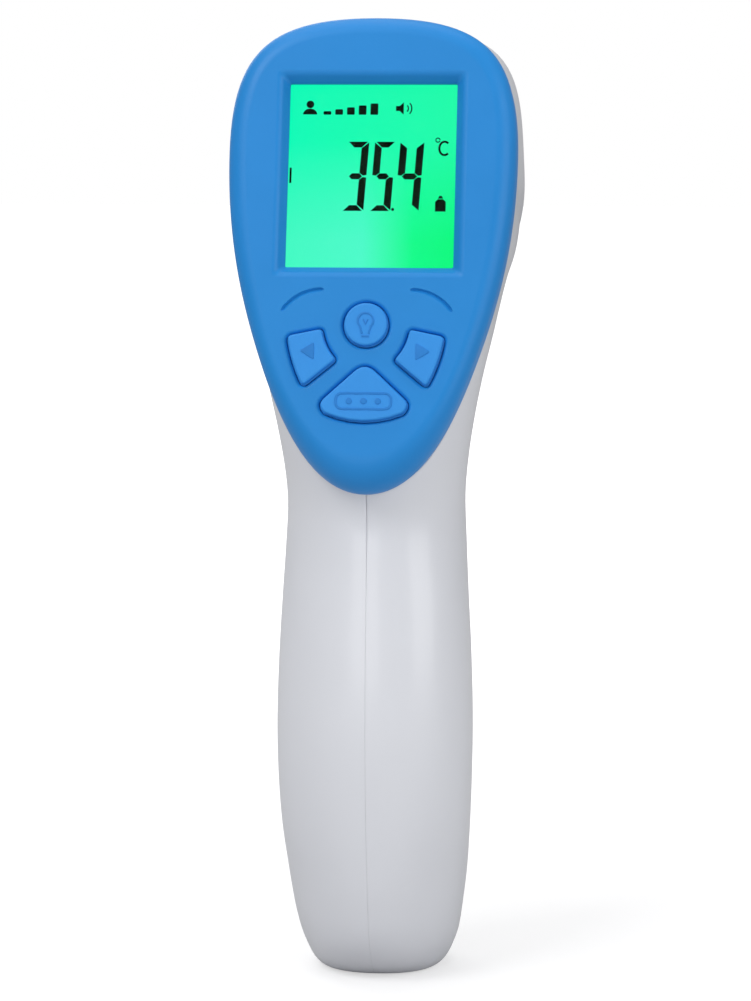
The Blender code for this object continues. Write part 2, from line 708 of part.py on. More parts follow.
# ------------------------------------------------------------------- trigger
def make_trigger():
    home = (0, *TRIGGER_PIVOT)
    obj = side_plate("trigger", TRIGGER_SIDE, -TRIGGER_HALF, TRIGGER_HALF, BEZEL_BLUE, home=home)
    round_edges(obj, 0.7, 2, 50.0)
    boolean(obj, cylinders("cut_trigger_pin", [((0, *TRIGGER_PIVOT), 1.7, 20.0, "X", 20)]))
    cylinders("trigger_pin", [((0, *TRIGGER_PIVOT), 1.4, 18.0, "X", 20)], STEEL)
    cylinders("trigger_plunger", [((0, 6.2, 106.25), 0.8, 1.9, "Z", 12)], SWITCH_BLACK, home=home)
    wire("trigger_spring", coil(0, 0.2, 105.3, 110.0, 1.6, 4, 9), 0.28, STEEL, 0)
    body = boxes("trigger_switch", [((-3.0, 3.0, 106.6), (3.0, 9.2, 108.6))], CHIP)
    boolean(body, cylinders("cut_trigger_switch", [((0, 5.9, 106.6), 1.8, 3.0, "Z", 12)]))
    boxes("trigger_board", [((-9.4, 3.0, 108.9), (9.4, 9.5, 110.3))], BOARD_GREEN)


# ---------------------------------------------------------------------- nose
def make_nose():
    """Nose ring and the sensor behind it; heights are from the housing's front edge."""
    centre = (0, NOSE_Y, NOSE_Z)
    turned("nose_ring", (
        (12.2, -5.0), (12.2, 4.4), (12.4, 6.0), (12.9, 7.4), (13.8, 8.0), (14.8, 7.5),
        (15.6, 6.2), (16.0, 4.4), (16.0, 0.3), (13.7, 0.3), (13.7, -5.0),
    ), BEZEL_BLUE, "Y", centre, 36)
    turned("sensor_reflector", (
        (11.8, 4.0), (11.8, 2.6), (10.9, 2.0), (5.0, -9.4), (5.0, -10.2), (3.4, -10.2),
        (3.6, -8.8), (10.4, 4.0),
    ), CHROME, "Y", centre, 32)
    turned("thermopile_sensor", (
        (0.0, -17.4), (4.1, -17.4), (4.1, -16.4), (3.7, -16.4), (3.7, -11.4), (3.3, -11.0),
        (1.4, -11.0), (1.4, -11.3), (0.0, -11.3),
    ), STEEL, "Y", centre, 24)
    turned("sensor_holder", (
        (4.5, -10.6), (6.6, -10.6), (6.6, -16.0), (7.6, -16.0), (7.6, -18.0), (4.5, -18.0),
    ), SWITCH_BLACK, "Y", centre, 24)
    board_y = NOSE_Y - 19.1
    cylinders("sensor_board", [((0, board_y, NOSE_Z), 10.0, 1.4, "Y", 28)], BOARD_GREEN)
    route = [
        (-3, board_y - 1.3, NOSE_Z), (-3, 30, 123.2), (-3, 18, 121.0), (-3, 9, 121.6),
        (-3, 2.2, 123.6),
    ]
    wire("sensor_cable", smooth_path(route, 3), 1.0, CHIP, 2)


# ------------------------------------------------------------------- battery
def make_tray():
    """Open tray that holds both cells, its mouth towards the door."""
    y = CELL_Y
    corners = ((11.7, y + 0.5), (-11.7, y + 0.5), (-11.7, y - 6.6), (11.7, y - 6.6))
    inner = ((10.8, y + 9.0), (-10.8, y + 9.0), (-10.8, y - 5.6), (10.8, y - 5.6))
    tray = plate("battery_tray", rounded(corners, [0.3, 0.3, 4.0, 4.0], 3), 14.0, 66.0, SWITCH_BLACK)
    boolean(tray, plate("cut_tray", rounded(inner, [0.3, 0.3, 3.6, 3.6], 3), 15.0, 65.0))


def make_cell(number, side, flip):
    """One cell with its coil spring at the minus end and its plate at the plus end."""
    x, y = side * CELL_X, CELL_Y
    profile = [
        (0.0, 0.0), (4.6, 0.0), (CELL_R, 0.5), (CELL_R, 43.0), (4.7, 43.4), (2.4, 43.4),
        (2.4, 43.9), (1.9, 44.5), (0.0, 44.5),
    ]
    low, spring, contact = 19.3, (15.6, 18.7), (64.1, 64.7)
    if flip:
        profile = [(r, 44.5 - h) for r, h in profile]
        low, spring, contact = 16.2, (61.3, 64.4), (15.3, 15.9)
    turned("battery_%d" % number, profile, CELL_WRAP, "Z", (x, y, low), 24)
    wire("contact_spring_%d" % number, coil(x, y, *spring, 3.0, 3, 10), 0.3, STEEL, 0)
    corners = ((x - 3.6, y - 3.6, contact[0]), (x + 3.6, y + 3.6, contact[1]))
    boxes("contact_plate_%d" % number, [corners], STEEL)


def make_leads():
    """Two wires from the tray up to the main board."""
    for name, side, mat in (("lead_red", 1, RED), ("lead_black", -1, CHIP)):
        route = [
            (side * 6.0, 0.2, 66.7), (side * 6.0, -1.4, 70.0), (side * 5.3, -3.8, 77.5),
            (side * 4.3, -6.2, 85.0), (side * 4.0, -7.6, 89.2),
        ]
        wire(name, smooth_path(route, 3), 0.6, mat, 1)


def make_case_screws():
    for i, (y, z, floor) in enumerate(CASE_SCREWS):
        tip, seat = 7.6, -floor - GAP
        profile = (
            (0.0, tip), (0.7, tip), (1.1, tip - 1.0), (1.1, seat), (2.2, seat),
            (2.2, seat - 1.1), (1.6, seat - 1.7), (0.0, seat - 1.7),
        )
        screw = turned("case_screw_%d" % (i + 1), profile, STEEL, "X", (0, y, z), 12)
        cross = [((seat - 3.0, y - 1.1, z - 0.25), (seat - 0.9, y + 1.1, z + 0.25))]
        boolean(screw, boxes("cut_case_screw_%d" % (i + 1), cross))


def make_door_pin():
    cylinders("battery_door_pin", [((0, *HINGE), 0.55, 11.2, "X", 12)], STEEL)


# ---------------------------------------------------------------------- build
clear_scene()
PARTS = collection(NAME)
CUTTERS = collection("cutters", hidden=True)

SHELL_WHITE = material("shell_white", (0.80, 0.80, 0.82), 0.35)
BEZEL_BLUE = material("bezel_blue", (0.04, 0.24, 0.66), 0.42)
KEY_BLUE = material("key_blue", (0.07, 0.30, 0.75), 0.5)
CLEAR = material("clear_window", (0.9, 0.95, 0.95), 0.05, alpha=0.25)
LCD_GREEN = material("lcd_green", (0.05, 0.95, 0.45), 0.3)
DIFFUSER = material("diffuser_white", (0.9, 0.95, 0.9), 0.5)
SWITCH_BLACK = material("black_plastic", (0.03, 0.03, 0.03), 0.5)
CHIP = material("chip_black", (0.015, 0.015, 0.018), 0.45)
BOARD_GREEN = material("board_green", (0.02, 0.22, 0.08), 0.45)
STEEL = material("bright_steel", (0.62, 0.62, 0.64), 0.3, 1.0)
CHROME = material("reflector_chrome", (0.85, 0.83, 0.78), 0.1, 1.0)
CELL_WRAP = material("cell_wrap", (0.10, 0.10, 0.12), 0.35)
RED = material("lead_red", (0.6, 0.02, 0.02), 0.5)

KEYS = {
    "key_lamp": lifted(circle(LAMP_R)),
    "key_left": lifted(side_key_outline(-1)),
    "key_right": lifted(side_key_outline(1)),
    "key_mode": lifted(mode_outline()),
}
CENTRES = {
    "key_lamp": (0.0, KEY_LIFT),
    "key_left": (-9.3, KEY_LIFT - 4.9),
    "key_right": (9.3, KEY_LIFT - 4.9),
    "key_mode": (0.0, KEY_LIFT - 11.8),
}

panel_frame = bpy.data.objects.new("panel_frame", None)
panel_frame.location = Vector(PANEL_ORIGIN) * MM
panel_frame.rotation_euler = (math.radians(90.0 - PANEL_TILT), 0.0, 0.0)
CUTTERS.objects.link(panel_frame)

housing_core = shell_surface("housing_core", None, (True, True), WALL * 0.45)
make_housings(housing_core, panel_frame)
make_door()
make_door_pin()
make_bezel(panel_frame)
for key_name, key_outline in KEYS.items():
    make_key(key_name, key_outline, CENTRES[key_name], panel_frame)
make_display(panel_frame)
make_board(panel_frame)
make_trigger()
make_nose()
make_tray()
make_cell(1, 1, False)
make_cell(2, -1, True)
make_leads()
make_case_screws()

for placed in bpy.data.objects:
    if placed.parent is None:
        placed.location -= Vector(BUTT_CENTRE) * MM
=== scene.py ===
"""Looks of the hand-held infrared thermometer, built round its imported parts.

Lengths are in millimetres unless a name says otherwise; MM turns them into
metres. The frame is the part's own: origin at the middle of the flat butt of
the grip, +Z up, +X to the user's right, -Y towards the user, +Y along the
barrel. Shapes are drawn from a zero on the grip's centre line, and ORIGIN
takes them to the part's frame.
"""

import json
import math

import bmesh
import bpy
import numpy as np
from mathutils import Matrix, Vector


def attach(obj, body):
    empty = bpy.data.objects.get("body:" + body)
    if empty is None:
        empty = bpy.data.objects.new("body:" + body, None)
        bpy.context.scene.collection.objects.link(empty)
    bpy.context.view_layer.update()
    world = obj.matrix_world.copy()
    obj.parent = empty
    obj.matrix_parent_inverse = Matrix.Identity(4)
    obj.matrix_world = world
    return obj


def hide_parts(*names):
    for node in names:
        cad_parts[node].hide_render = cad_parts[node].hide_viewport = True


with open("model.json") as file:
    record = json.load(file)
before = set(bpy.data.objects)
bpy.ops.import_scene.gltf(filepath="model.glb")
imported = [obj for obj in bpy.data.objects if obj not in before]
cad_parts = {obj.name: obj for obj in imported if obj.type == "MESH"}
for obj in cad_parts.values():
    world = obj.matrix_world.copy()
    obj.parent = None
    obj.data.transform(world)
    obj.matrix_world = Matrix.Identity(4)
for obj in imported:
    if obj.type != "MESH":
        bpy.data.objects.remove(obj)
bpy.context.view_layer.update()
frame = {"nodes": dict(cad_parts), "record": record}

MM = 0.001
GAP = 0.3                       # clearance between neighbouring pieces
WALL = 2.0                      # moulded wall of the housing

# Stations of the housing, butt to nose: rear/top point (y, z), front/under
# point (y, z), half-width, how boxy its rear and front halves are (2 = ellipse)
# and how far the widest line lies towards the front, in parts of the reach.
STATIONS = np.array((
    (0.4, -2.0, 16.0, -2.0, 8.2, 2.3, 2.4, 0.0),
    (-1.4, -1.6, 17.7, -1.6, 9.8, 2.3, 2.4, 0.05),
    (-3.0, -0.8, 18.6, -0.8, 10.9, 2.3, 2.4, 0.12),
    (-4.8, 0.4, 19.1, 0.4, 11.7, 2.3, 2.4, 0.18),
    (-6.7, 2.0, 19.0, 2.0, 12.4, 2.3, 2.4, 0.24),
    (-8.6, 4.1, 18.2, 4.1, 13.1, 2.3, 2.4, 0.28),
    (-10.2, 6.7, 17.0, 6.7, 13.6, 2.3, 2.4, 0.28),
    (-11.5, 9.9, 16.3, 9.9, 14.1, 2.3, 2.4, 0.26),
    (-13.2, 15.5, 16.1, 15.5, 14.8, 2.3, 2.4, 0.22),
    (-14.9, 24.0, 15.9, 24.0, 15.5, 2.3, 2.4, 0.06),
    (-16.0, 33.0, 15.8, 33.0, 15.9, 2.3, 2.4, 0.0),
    (-16.4, 42.0, 15.9, 42.0, 16.0, 2.3, 2.4, 0.0),
    (-15.9, 52.0, 16.0, 52.5, 15.7, 2.3, 2.4, 0.0),
    (-14.9, 61.0, 16.0, 62.5, 15.2, 2.3, 2.4, 0.0),
    (-13.9, 69.0, 15.9, 72.0, 14.75, 2.3, 2.4, 0.05),
    (-13.5, 75.0, 15.8, 80.0, 14.5, 2.35, 2.4, 0.08),
    (-14.6, 80.0, 15.8, 87.0, 15.0, 2.4, 2.4, 0.12),
    (-17.2, 86.0, 16.4, 94.0, 16.0, 2.5, 2.4, 0.16),
    (-19.8, 93.5, 18.0, 100.0, 17.3, 2.7, 2.4, 0.18),
    (-21.2, 103.0, 20.8, 104.0, 18.7, 3.0, 2.4, 0.18),
    (-20.8, 114.0, 25.2, 106.2, 19.8, 3.4, 2.4, 0.14),
    (-18.6, 126.0, 28.8, 107.2, 20.9, 3.8, 2.4, 0.10),
    (-14.0, 138.0, 32.8, 107.6, 22.2, 4.0, 2.4, 0.05),
    (-6.5, 147.6, 36.2, 107.8, 22.6, 4.0, 2.4, 0.0),
    (3.5, 152.7, 39.4, 107.9, 22.7, 4.0, 2.4, 0.0),
    (14.4, 153.3, 42.5, 107.9, 22.2, 3.7, 2.4, 0.0),
    (25.0, 151.8, 45.6, 107.9, 21.1, 3.1, 2.35, 0.0),
    (35.5, 148.6, 48.8, 107.9, 19.5, 2.7, 2.25, 0.0),
    (45.5, 144.5, 52.2, 107.95, 17.8, 2.3, 2.1, 0.0),
    (52.8, 141.2, 55.4, 108.0, 16.6, 2.0, 2.0, 0.0),
    (58.0, 140.1, 58.0, 108.1, 16.0, 2.0, 2.0, 0.0),
))
ROWS_PER_STATION = 5
SIDE_POINTS = 60                # points round one side of a section
SEAM = 0.008                    # half the gap between the closed halves
LIP_CLOSED = 0.008              # width of the seam's rolled lip on the grip
LIP_OPEN = 0.33                 # and how much wider it gets under the display
LIP_HEIGHTS = (61.0, 22.0)      # where it starts to widen, and over what height
ORIGIN = Vector((0.0, 8.2, -2.0))      # the frame's origin, in the drawing
NOSE_Z = 124.1                  # axis of the sensor and the nose ring
NOSE_Y = 58.0                   # front edge of the housing

FLOOR_GLOW = 0.55               # how much the floor shines near the part

PANEL_TILT = 15.0               # degrees the display face leans back
PANEL_ORIGIN = Vector((0.0, -14.53, 106.67))    # centre of the lamp key, on the face
SEAT = -6.5                     # housing's flat seat, below the face plane
SKIRT = -6.2                    # lower edge of the bezel
FACE_BACK = -2.3                # underside of the bezel's face

DIGIT_STROKE = 1.15             # width of a display segment
DIGIT_GAP = 0.12                # gap between segments
DIGIT_SLANT = 0.06              # sideways lean per millimetre of height
WIRE_ROUNDNESS = 3              # bevel resolution of round wire

# Bezel outline and its flat face, half of each as Bezier knots:
# (x, v, handle-in dx, dv, handle-out dx, dv), top to tip.
OUTLINE = (
    (0.0, 51.2, -17.7, 0.0, 17.7, 0.0),
    (23.2, 29.0, 0.0, 16.4, 0.0, -14.0),
    (16.5, -7.0, 4.1, 11.3, -2.9, -8.0),
    (0.0, -26.0, 8.6, 0.0, -8.6, 0.0),
)
FACE = (
    (0.0, 47.9, -16.0, 0.0, 16.0, 0.0),
    (19.9, 29.0, 0.0, 14.0, 0.0, -12.5),
    (14.3, -5.2, 3.6, 10.0, -2.2, -5.8),
    (0.0, -20.4, 7.6, 0.0, -7.6, 0.0),
)
OUTLINE_STEPS = 26              # points on each Bezier span
RIM_DROP = 3.0                  # how far the rim rolls down at the sides
TIP_DROP = 5.4                  # and at the tip
RIM_STEPS = 14

LCD_V = 25.05                   # centre of the display on the panel
LCD_HALF = (13.5, 15.05)        # visible display, half sizes
RECESS_HALF = (14.7, 16.3)      # sloped recess at the face
RECESS_DEPTH = 1.8
RECESS_SOFT = 0.75              # how far the recess rolls out into the face
LCD_TOP = -3.7                  # upper side of the display glass

LAMP_R = 3.6
KEY_RISE = 0.8                  # keys stand this far above the face
KEY_GAP = 0.08                  # narrowest gap round a key
KEY_SLOPE = 0.65                # the face rolls down to the keys by this much
KEY_STEP = 0.18                 # shoulder round a key, down in its gap
KEY_EDGE = 0.32                 # rounding of a key's top edge
KEY_POINTS = 120                # points round each key
SYMBOL_LOW = KEY_RISE - 0.1     # the raised symbols' foot, top and edge rounding
SYMBOL_TOP = KEY_RISE + 0.12
SYMBOL_EDGE = 0.05
SYMBOL_PILL_V = -12.4           # centre of the mode key's symbol
# Corners of the right side key: upper, lower, and the two at the round key.
SIDE_KEY = ((12.7, -1.8), (9.9, -10.2), (4.45, -5.7), (6.9, -0.6))
KEY_LIFT = 0.4                  # the keys' common centre above the panel's origin
MODE = (-6.6, 7.2, -13.1, 15.7)        # mode key: apex, corner x, corner v, bottom radius

TRIGGER_PIVOT = (11.5, 102.5)
TRIGGER_HALF = 5.0
DOOR_HALF = 11.2
DOOR_Z = (9.3, 67.0)
HINGE = (16.2, 9.3)             # door hinge axis (y, z), along X
HINGE_R = 1.4
HINGE_PLAY = 0.35               # clearance round the hinge's knuckle and lugs
LUG_X = 4.9                     # the housing's lugs, either side of the door's knuckle
CELL_R = 5.25                   # two AAA cells side by side
CELL_LENGTH = 44.5
CELL_X = 5.4
CELL_Y = 5.0
CASE_SCREWS = (                 # y, z, depth of the counterbore's floor
    (3.5, 71.8, 10.0), (4.5, 89.5, 10.5), (9.0, 4.4, 9.0),
    (19.0, 143.5, 12.0), (40.0, 139.2, 10.0), (31.0, 114.2, 10.0),
)

WORLD = Matrix.Identity(4)
PANEL = Matrix.Translation(PANEL_ORIGIN) @ Matrix.Rotation(math.radians(90.0 - PANEL_TILT), 4, "X")

FLOOR_HALF = 3.0                # metres
WORLD_LIGHT = 0.34              # strength of the surroundings on the part
CAMERA_AIM = (0.0, 0.0, 77.2)   # in the drawing's frame
CAMERA_AZIMUTH = 6.0            # degrees round to the user's right
CAMERA_ELEVATION = 7.0
CAMERA_DISTANCE = 0.6           # metres
CAMERA_LENS = 131.9
SENSOR_WIDTH = 36.0
LIGHT_AIM = (0.0, 0.0, 0.085)   # metres
LIGHTS = (                      # name, place and size in metres, power in watts
    ("key", (-0.48, -0.66, 0.88), (0.5, 0.5), 4.6),
    ("front", (-0.12, -1.0, 0.16), (0.35, 0.5), 1.25),
    ("fill", (0.80, -0.50, 0.38), (0.6, 0.9), 3.4),
    ("top", (-0.1, 0.1, 1.0), (0.8, 0.8), 3.2),
    ("rear", (-0.4, 0.8, 0.5), (0.6, 0.6), 1.8),
)


# ------------------------------------------------------------------- helpers
def smoothstep(t):
    t = np.clip(t, 0.0, 1.0)
    return t * t * (3.0 - 2.0 * t)


def new_object(name, verts, faces, place=WORLD, sharp=32.0):
    """A mesh object from millimetre points in the given frame."""
    mesh = bpy.data.meshes.new(name)
    points = [(place @ Vector(v) - ORIGIN) * MM for v in verts]
    mesh.from_pydata(points, [], faces)
    mesh.validate()
    obj = bpy.data.objects.new(name, mesh)
    bpy.context.scene.collection.objects.link(obj)
    tidy_mesh(obj, sharp)
    return obj


def tidy_mesh(obj, sharp=32.0):
    """Merges doubles, points the normals outwards and sets smooth shading."""
    bm = bmesh.new()
    bm.from_mesh(obj.data)
    bmesh.ops.remove_doubles(bm, verts=bm.verts, dist=2e-6)
    bmesh.ops.dissolve_degenerate(bm, edges=bm.edges, dist=1e-6)
    bmesh.ops.recalc_face_normals(bm, faces=bm.faces)
    bm.to_mesh(obj.data)
    bm.free()
    obj.data.shade_smooth()
    obj.data.set_sharp_from_angle(angle=math.radians(sharp))


def loft(name, rings, place=WORLD, ends=(True, True), sharp=32.0):
    """Skins a row of closed rings that have the same number of points."""
    count = len(rings[0])
    verts = [tuple(p) for ring in rings for p in ring]
    faces = []
    for row in range(len(rings) - 1):
        a, b = row * count, (row + 1) * count
        faces += [(a + i, a + (i + 1) % count, b + (i + 1) % count, b + i) for i in range(count)]
    if ends[0]:
        faces.append(tuple(range(count))[::-1])
    if ends[1]:
        faces.append(tuple(range(len(verts) - count, len(verts))))
    return new_object(name, verts, faces, place, sharp)


def turned(name, profile, axis="Z", centre=(0, 0, 0), sides=64):
    """Spins a closed profile of (radius, height) points about an axis."""
    turn = {
        "X": Matrix.Rotation(math.radians(90.0), 4, "Y"),
        "Y": Matrix.Rotation(math.radians(-90.0), 4, "X"),
        "Z": Matrix.Identity(4),
    }[axis]
    place = Matrix.Translation(centre) @ turn
    angles = np.linspace(0.0, math.tau, sides, endpoint=False)
    rings = [[(r * math.cos(a), r * math.sin(a), h) for r, h in profile] for a in angles]
    count = len(profile)
    verts = [p for ring in rings for p in ring]
    closed = profile[0][0] > 0.0
    faces = []
    for i in range(sides):
        a, b = i * count, ((i + 1) % sides) * count
        for k in range(count if closed else count - 1):
            n = (k + 1) % count
            faces.append((a + k, b + k, b + n, a + n))
    return new_object(name, verts, faces, place)


def box(name, low, high, place=WORLD):
    low, high = np.array(low, float), np.array(high, float)
    ring = [(low[0], low[1]), (high[0], low[1]), (high[0], high[1]), (low[0], high[1])]
    return loft(name, [[(x, y, h) for x, y in ring] for h in (low[2], high[2])], place)


def cylinder(name, centre, radius, length, axis="Z", sides=48):
    profile = ((0.0, -length / 2), (radius, -length / 2), (radius, length / 2), (0.0, length / 2))
    return turned(name, profile, axis, centre, sides)


def plate(name, outline, low, high, place=PANEL, soft=0.0):
    """A flat outline drawn up from low to high, its top edge rounded by soft."""
    outline = np.asarray(outline, float)
    rings = [[(x, v, low) for x, v in outline]]
    steps = 4 if soft else 0
    for k in range(steps):
        a = math.pi / 2 * k / steps
        ring = inset(outline, soft * (1.0 - math.cos(a)))
        rings.append([(x, v, high - soft * (1.0 - math.sin(a))) for x, v in ring])
    rings.append([(x, v, high) for x, v in inset(outline, soft)])
    return loft(name, rings, place)


def join(name, objects):
    """Joins mesh objects into one piece."""
    with bpy.context.temp_override(active_object=objects[0], selected_editable_objects=objects):
        bpy.ops.object.join()
    objects[0].name = name
    return objects[0]


def applied(obj):
    """Applies the object's modifiers."""
    bpy.context.view_layer.update()
    ready = obj.evaluated_get(bpy.context.evaluated_depsgraph_get())
    mesh = bpy.data.meshes.new_from_object(ready)
    obj.modifiers.clear()
    obj.data = mesh
    return obj


def boolean(obj, tool, operation="DIFFERENCE"):
    """Cuts, joins or trims the object with a tool, which is used up."""
    mod = obj.modifiers.new("Cut", "BOOLEAN")
    mod.operation = operation
    mod.solver = "EXACT"
    mod.object = tool
    applied(obj)
    bpy.data.objects.remove(tool)
    tidy_mesh(obj)
    return obj


def wire(name, points, radius):
    """Round wire along a row of points, as a mesh."""
    curve = bpy.data.curves.new(name, "CURVE")
    curve.dimensions = "3D"
    curve.bevel_depth = radius * MM
    curve.bevel_resolution = WIRE_ROUNDNESS
    curve.use_fill_caps = True
    spline = curve.splines.new("POLY")
    spline.points.add(len(points) - 1)
    for point, p in zip(spline.points, points):
        point.co = (*((Vector(p) - ORIGIN) * MM), 1.0)
    obj = bpy.data.objects.new(name, curve)
    bpy.context.scene.collection.objects.link(obj)
    mesh = bpy.data.meshes.new_from_object(obj.evaluated_get(bpy.context.evaluated_depsgraph_get()))
    made = bpy.data.objects.new(name + "_mesh", mesh)
    bpy.context.scene.collection.objects.link(made)
    bpy.data.objects.remove(obj)
    made.name = name
    tidy_mesh(made, 50.0)
    return made


def catmull(rows, steps):
    """Smooth curve through the rows, with steps points between neighbours."""
    rows = np.asarray(rows, float)
    p = np.vstack([rows[:1], rows, rows[-1:]])
    t = (np.arange(steps) / steps)[:, None]
    spans = [
        0.5 * (2 * b + (c - a) * t + (2 * a - 5 * b + 4 * c - d) * t**2 + (3 * b - a - 3 * c + d) * t**3)
        for a, b, c, d in zip(p, p[1:], p[2:], p[3:])
    ]
    return np.vstack([*spans, rows[-1:]])


def flat_faces_first(obj):
    """Weights the normals by face size, so large flat faces shade evenly."""
    mod = obj.modifiers.new("Normals", "WEIGHTED_NORMAL")
    mod.keep_sharp = True
    return applied(obj)


def piece(obj, body, mat, slot, *stands_for):
    """Gives a finished visual piece its material, hangs it on its body and hides the CAD nodes it stands
    for.
    """
    obj.data.materials.clear()
    obj.data.materials.append(mat)
    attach(obj, body)
    if stands_for:
        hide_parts(*stands_for)
    return obj


# ------------------------------------------------------------------ outlines
def bezier_outline(knots):
    """Closed outline, symmetric about x = 0, from half of its Bezier knots."""
    right = []
    for (x0, v0, _, _, ox, ov), (x1, v1, ix, iv, _, _) in zip(knots, knots[1:]):
        p = np.array(((x0, v0), (x0 + ox, v0 + ov), (x1 + ix, v1 + iv), (x1, v1)))
        t = (np.arange(OUTLINE_STEPS) / OUTLINE_STEPS)[:, None]
        s = 1.0 - t
        right.append(s**3 * p[0] + 3 * s * s * t * p[1] + 3 * s * t * t * p[2] + t**3 * p[3])
    right = np.vstack([*right, [knots[-1][:2]]])
    left = right[-2:0:-1] * (-1.0, 1.0)
    return np.vstack([right, left])


def inset(outline, distance):
    """Moves a closed outline inwards along its normals."""
    outline = np.asarray(outline, float)
    along = np.roll(outline, -1, 0) - np.roll(outline, 1, 0)
    normal = np.stack([along[:, 1], -along[:, 0]], 1)
    normal /= np.linalg.norm(normal, axis=1)[:, None]
    x, v = outline[:, 0], outline[:, 1]
    area = np.sum(x * np.roll(v, -1) - np.roll(x, -1) * v)
    return outline - normal * distance * np.sign(area)


def even(outline, count):
    """The same closed outline with evenly spaced points."""
    closed = np.vstack([outline, outline[:1]])
    length = np.concatenate([[0.0], np.cumsum(np.linalg.norm(np.diff(closed, axis=0), axis=1))])
    at = np.linspace(0.0, length[-1], count, endpoint=False)
    return np.column_stack([np.interp(at, length, closed[:, k]) for k in range(closed.shape[1])])


def soften(points, radii, steps=8):
    """Replaces the points that have a radius with a short rounded corner."""
    out = []
    for i, (p, r) in enumerate(zip(points, radii)):
        here = np.array(p, float)
        if not r:
            out.append(here)
            continue
        a, b = np.array(points[i - 1]) - here, np.array(points[(i + 1) % len(points)]) - here
        a = here + a / np.linalg.norm(a) * min(r, np.linalg.norm(a) * 0.9)
        b = here + b / np.linalg.norm(b) * min(r, np.linalg.norm(b) * 0.9)
        for t in np.linspace(0.0, 1.0, steps):
            out.append(a * (1 - t) ** 2 + here * 2 * t * (1 - t) + b * t**2)
    return np.array(out)


def rectangle(half_x, half_y, radius, centre=(0.0, 0.0), steps=6):
    cx, cy = centre
    corners = [(cx + sx * half_x, cy + sy * half_y) for sx, sy in ((1, 1), (-1, 1), (-1, -1), (1, -1))]
    return soften(corners, [radius] * 4, steps)


def circle(radius, sides=72, centre=(0.0, 0.0)):
    a = np.linspace(0.0, math.tau, sides, endpoint=False)
    return np.column_stack([centre[0] + radius * np.cos(a), centre[1] + radius * np.sin(a)])


def side_key_outline(side):
    """Side key: hollow along the round key, full along the outside, straight above and below."""
    upper, lower, inner_low, inner_top = np.array(SIDE_KEY)
    raw = bowed(upper, lower, 0.4, 9) + bowed(inner_low, inner_top, -0.5, 7)
    out = even(soften(raw, [1.0] + [0.0] * 7 + [1.0, 0.8] + [0.0] * 5 + [0.8]), KEY_POINTS)
    return out if side > 0 else (out * (-1.0, 1.0))[::-1]


def bowed(start, end, bow, count):
    """Points from start to end along a shallow arc that bows to the left by bow."""
    along = end - start
    left = np.array((-along[1], along[0])) / np.linalg.norm(along)
    return [start + along * t + left * 4.0 * bow * t * (1.0 - t) for t in np.linspace(0.0, 1.0, count)]


def mode_outline():
    """Mode key: a rounded triangle whose base is an arc about the lamp key."""
    apex, corner_x, corner_v, radius = MODE
    reach = math.asin((corner_x - 0.9) / radius)
    base = [(radius * math.sin(a), -radius * math.cos(a)) for a in np.linspace(reach, -reach, 7)]
    out_x, out_v = corner_x + 0.35, corner_v + 0.25
    raw = [(0.0, apex + 0.75), (out_x, out_v), *base, (-out_x, out_v)]
    return even(soften(raw, [2.4, 1.5] + [0.0] * len(base) + [1.5])[::-1], KEY_POINTS)


KEYS = {
    "lamp": even(circle(LAMP_R), KEY_POINTS) + (0.0, KEY_LIFT),
    "left": side_key_outline(-1) + (0.0, KEY_LIFT),
    "right": side_key_outline(1) + (0.0, KEY_LIFT),
    "mode": mode_outline() + (0.0, KEY_LIFT),
}


# ----------------------------------------------------------------- materials
def nodes_of(name):
    mat = bpy.data.materials.new(name)
    mat.use_nodes = True
    return mat, mat.node_tree.nodes, mat.node_tree.links, mat.node_tree.nodes["Principled BSDF"]


def noise(nodes, links, source, scale, detail=3.0, roughness=0.5, stretch=None):
    tex = nodes.new("ShaderNodeTexNoise")
    tex.inputs["Scale"].default_value = scale
    tex.inputs["Detail"].default_value = detail
    tex.inputs["Roughness"].default_value = roughness
    if stretch:
        mapping = nodes.new("ShaderNodeMapping")
        mapping.inputs["Scale"].default_value = stretch
        links.new(source, mapping.inputs["Vector"])
        source = mapping.outputs["Vector"]
    links.new(source, tex.inputs["Vector"])
    return tex.outputs["Fac"]


def ramp(nodes, links, source, stops):
    made = nodes.new("ShaderNodeValToRGB")
    table = made.color_ramp.elements
    while len(table) < len(stops):
        table.new(0.5)
    for element, (at, colour) in zip(table, stops):
        element.position = at
        element.color = (*colour, 1.0)
    links.new(source, made.inputs["Fac"])
    return made.outputs["Color"]


def spread(nodes, links, source, low, high, from_low=0.3, from_high=0.7):
    made = nodes.new("ShaderNodeMapRange")
    made.inputs["From Min"].default_value = from_low
    made.inputs["From Max"].default_value = from_high
    made.inputs["To Min"].default_value = low
    made.inputs["To Max"].default_value = high
    links.new(source, made.inputs["Value"])
    return made.outputs["Result"]


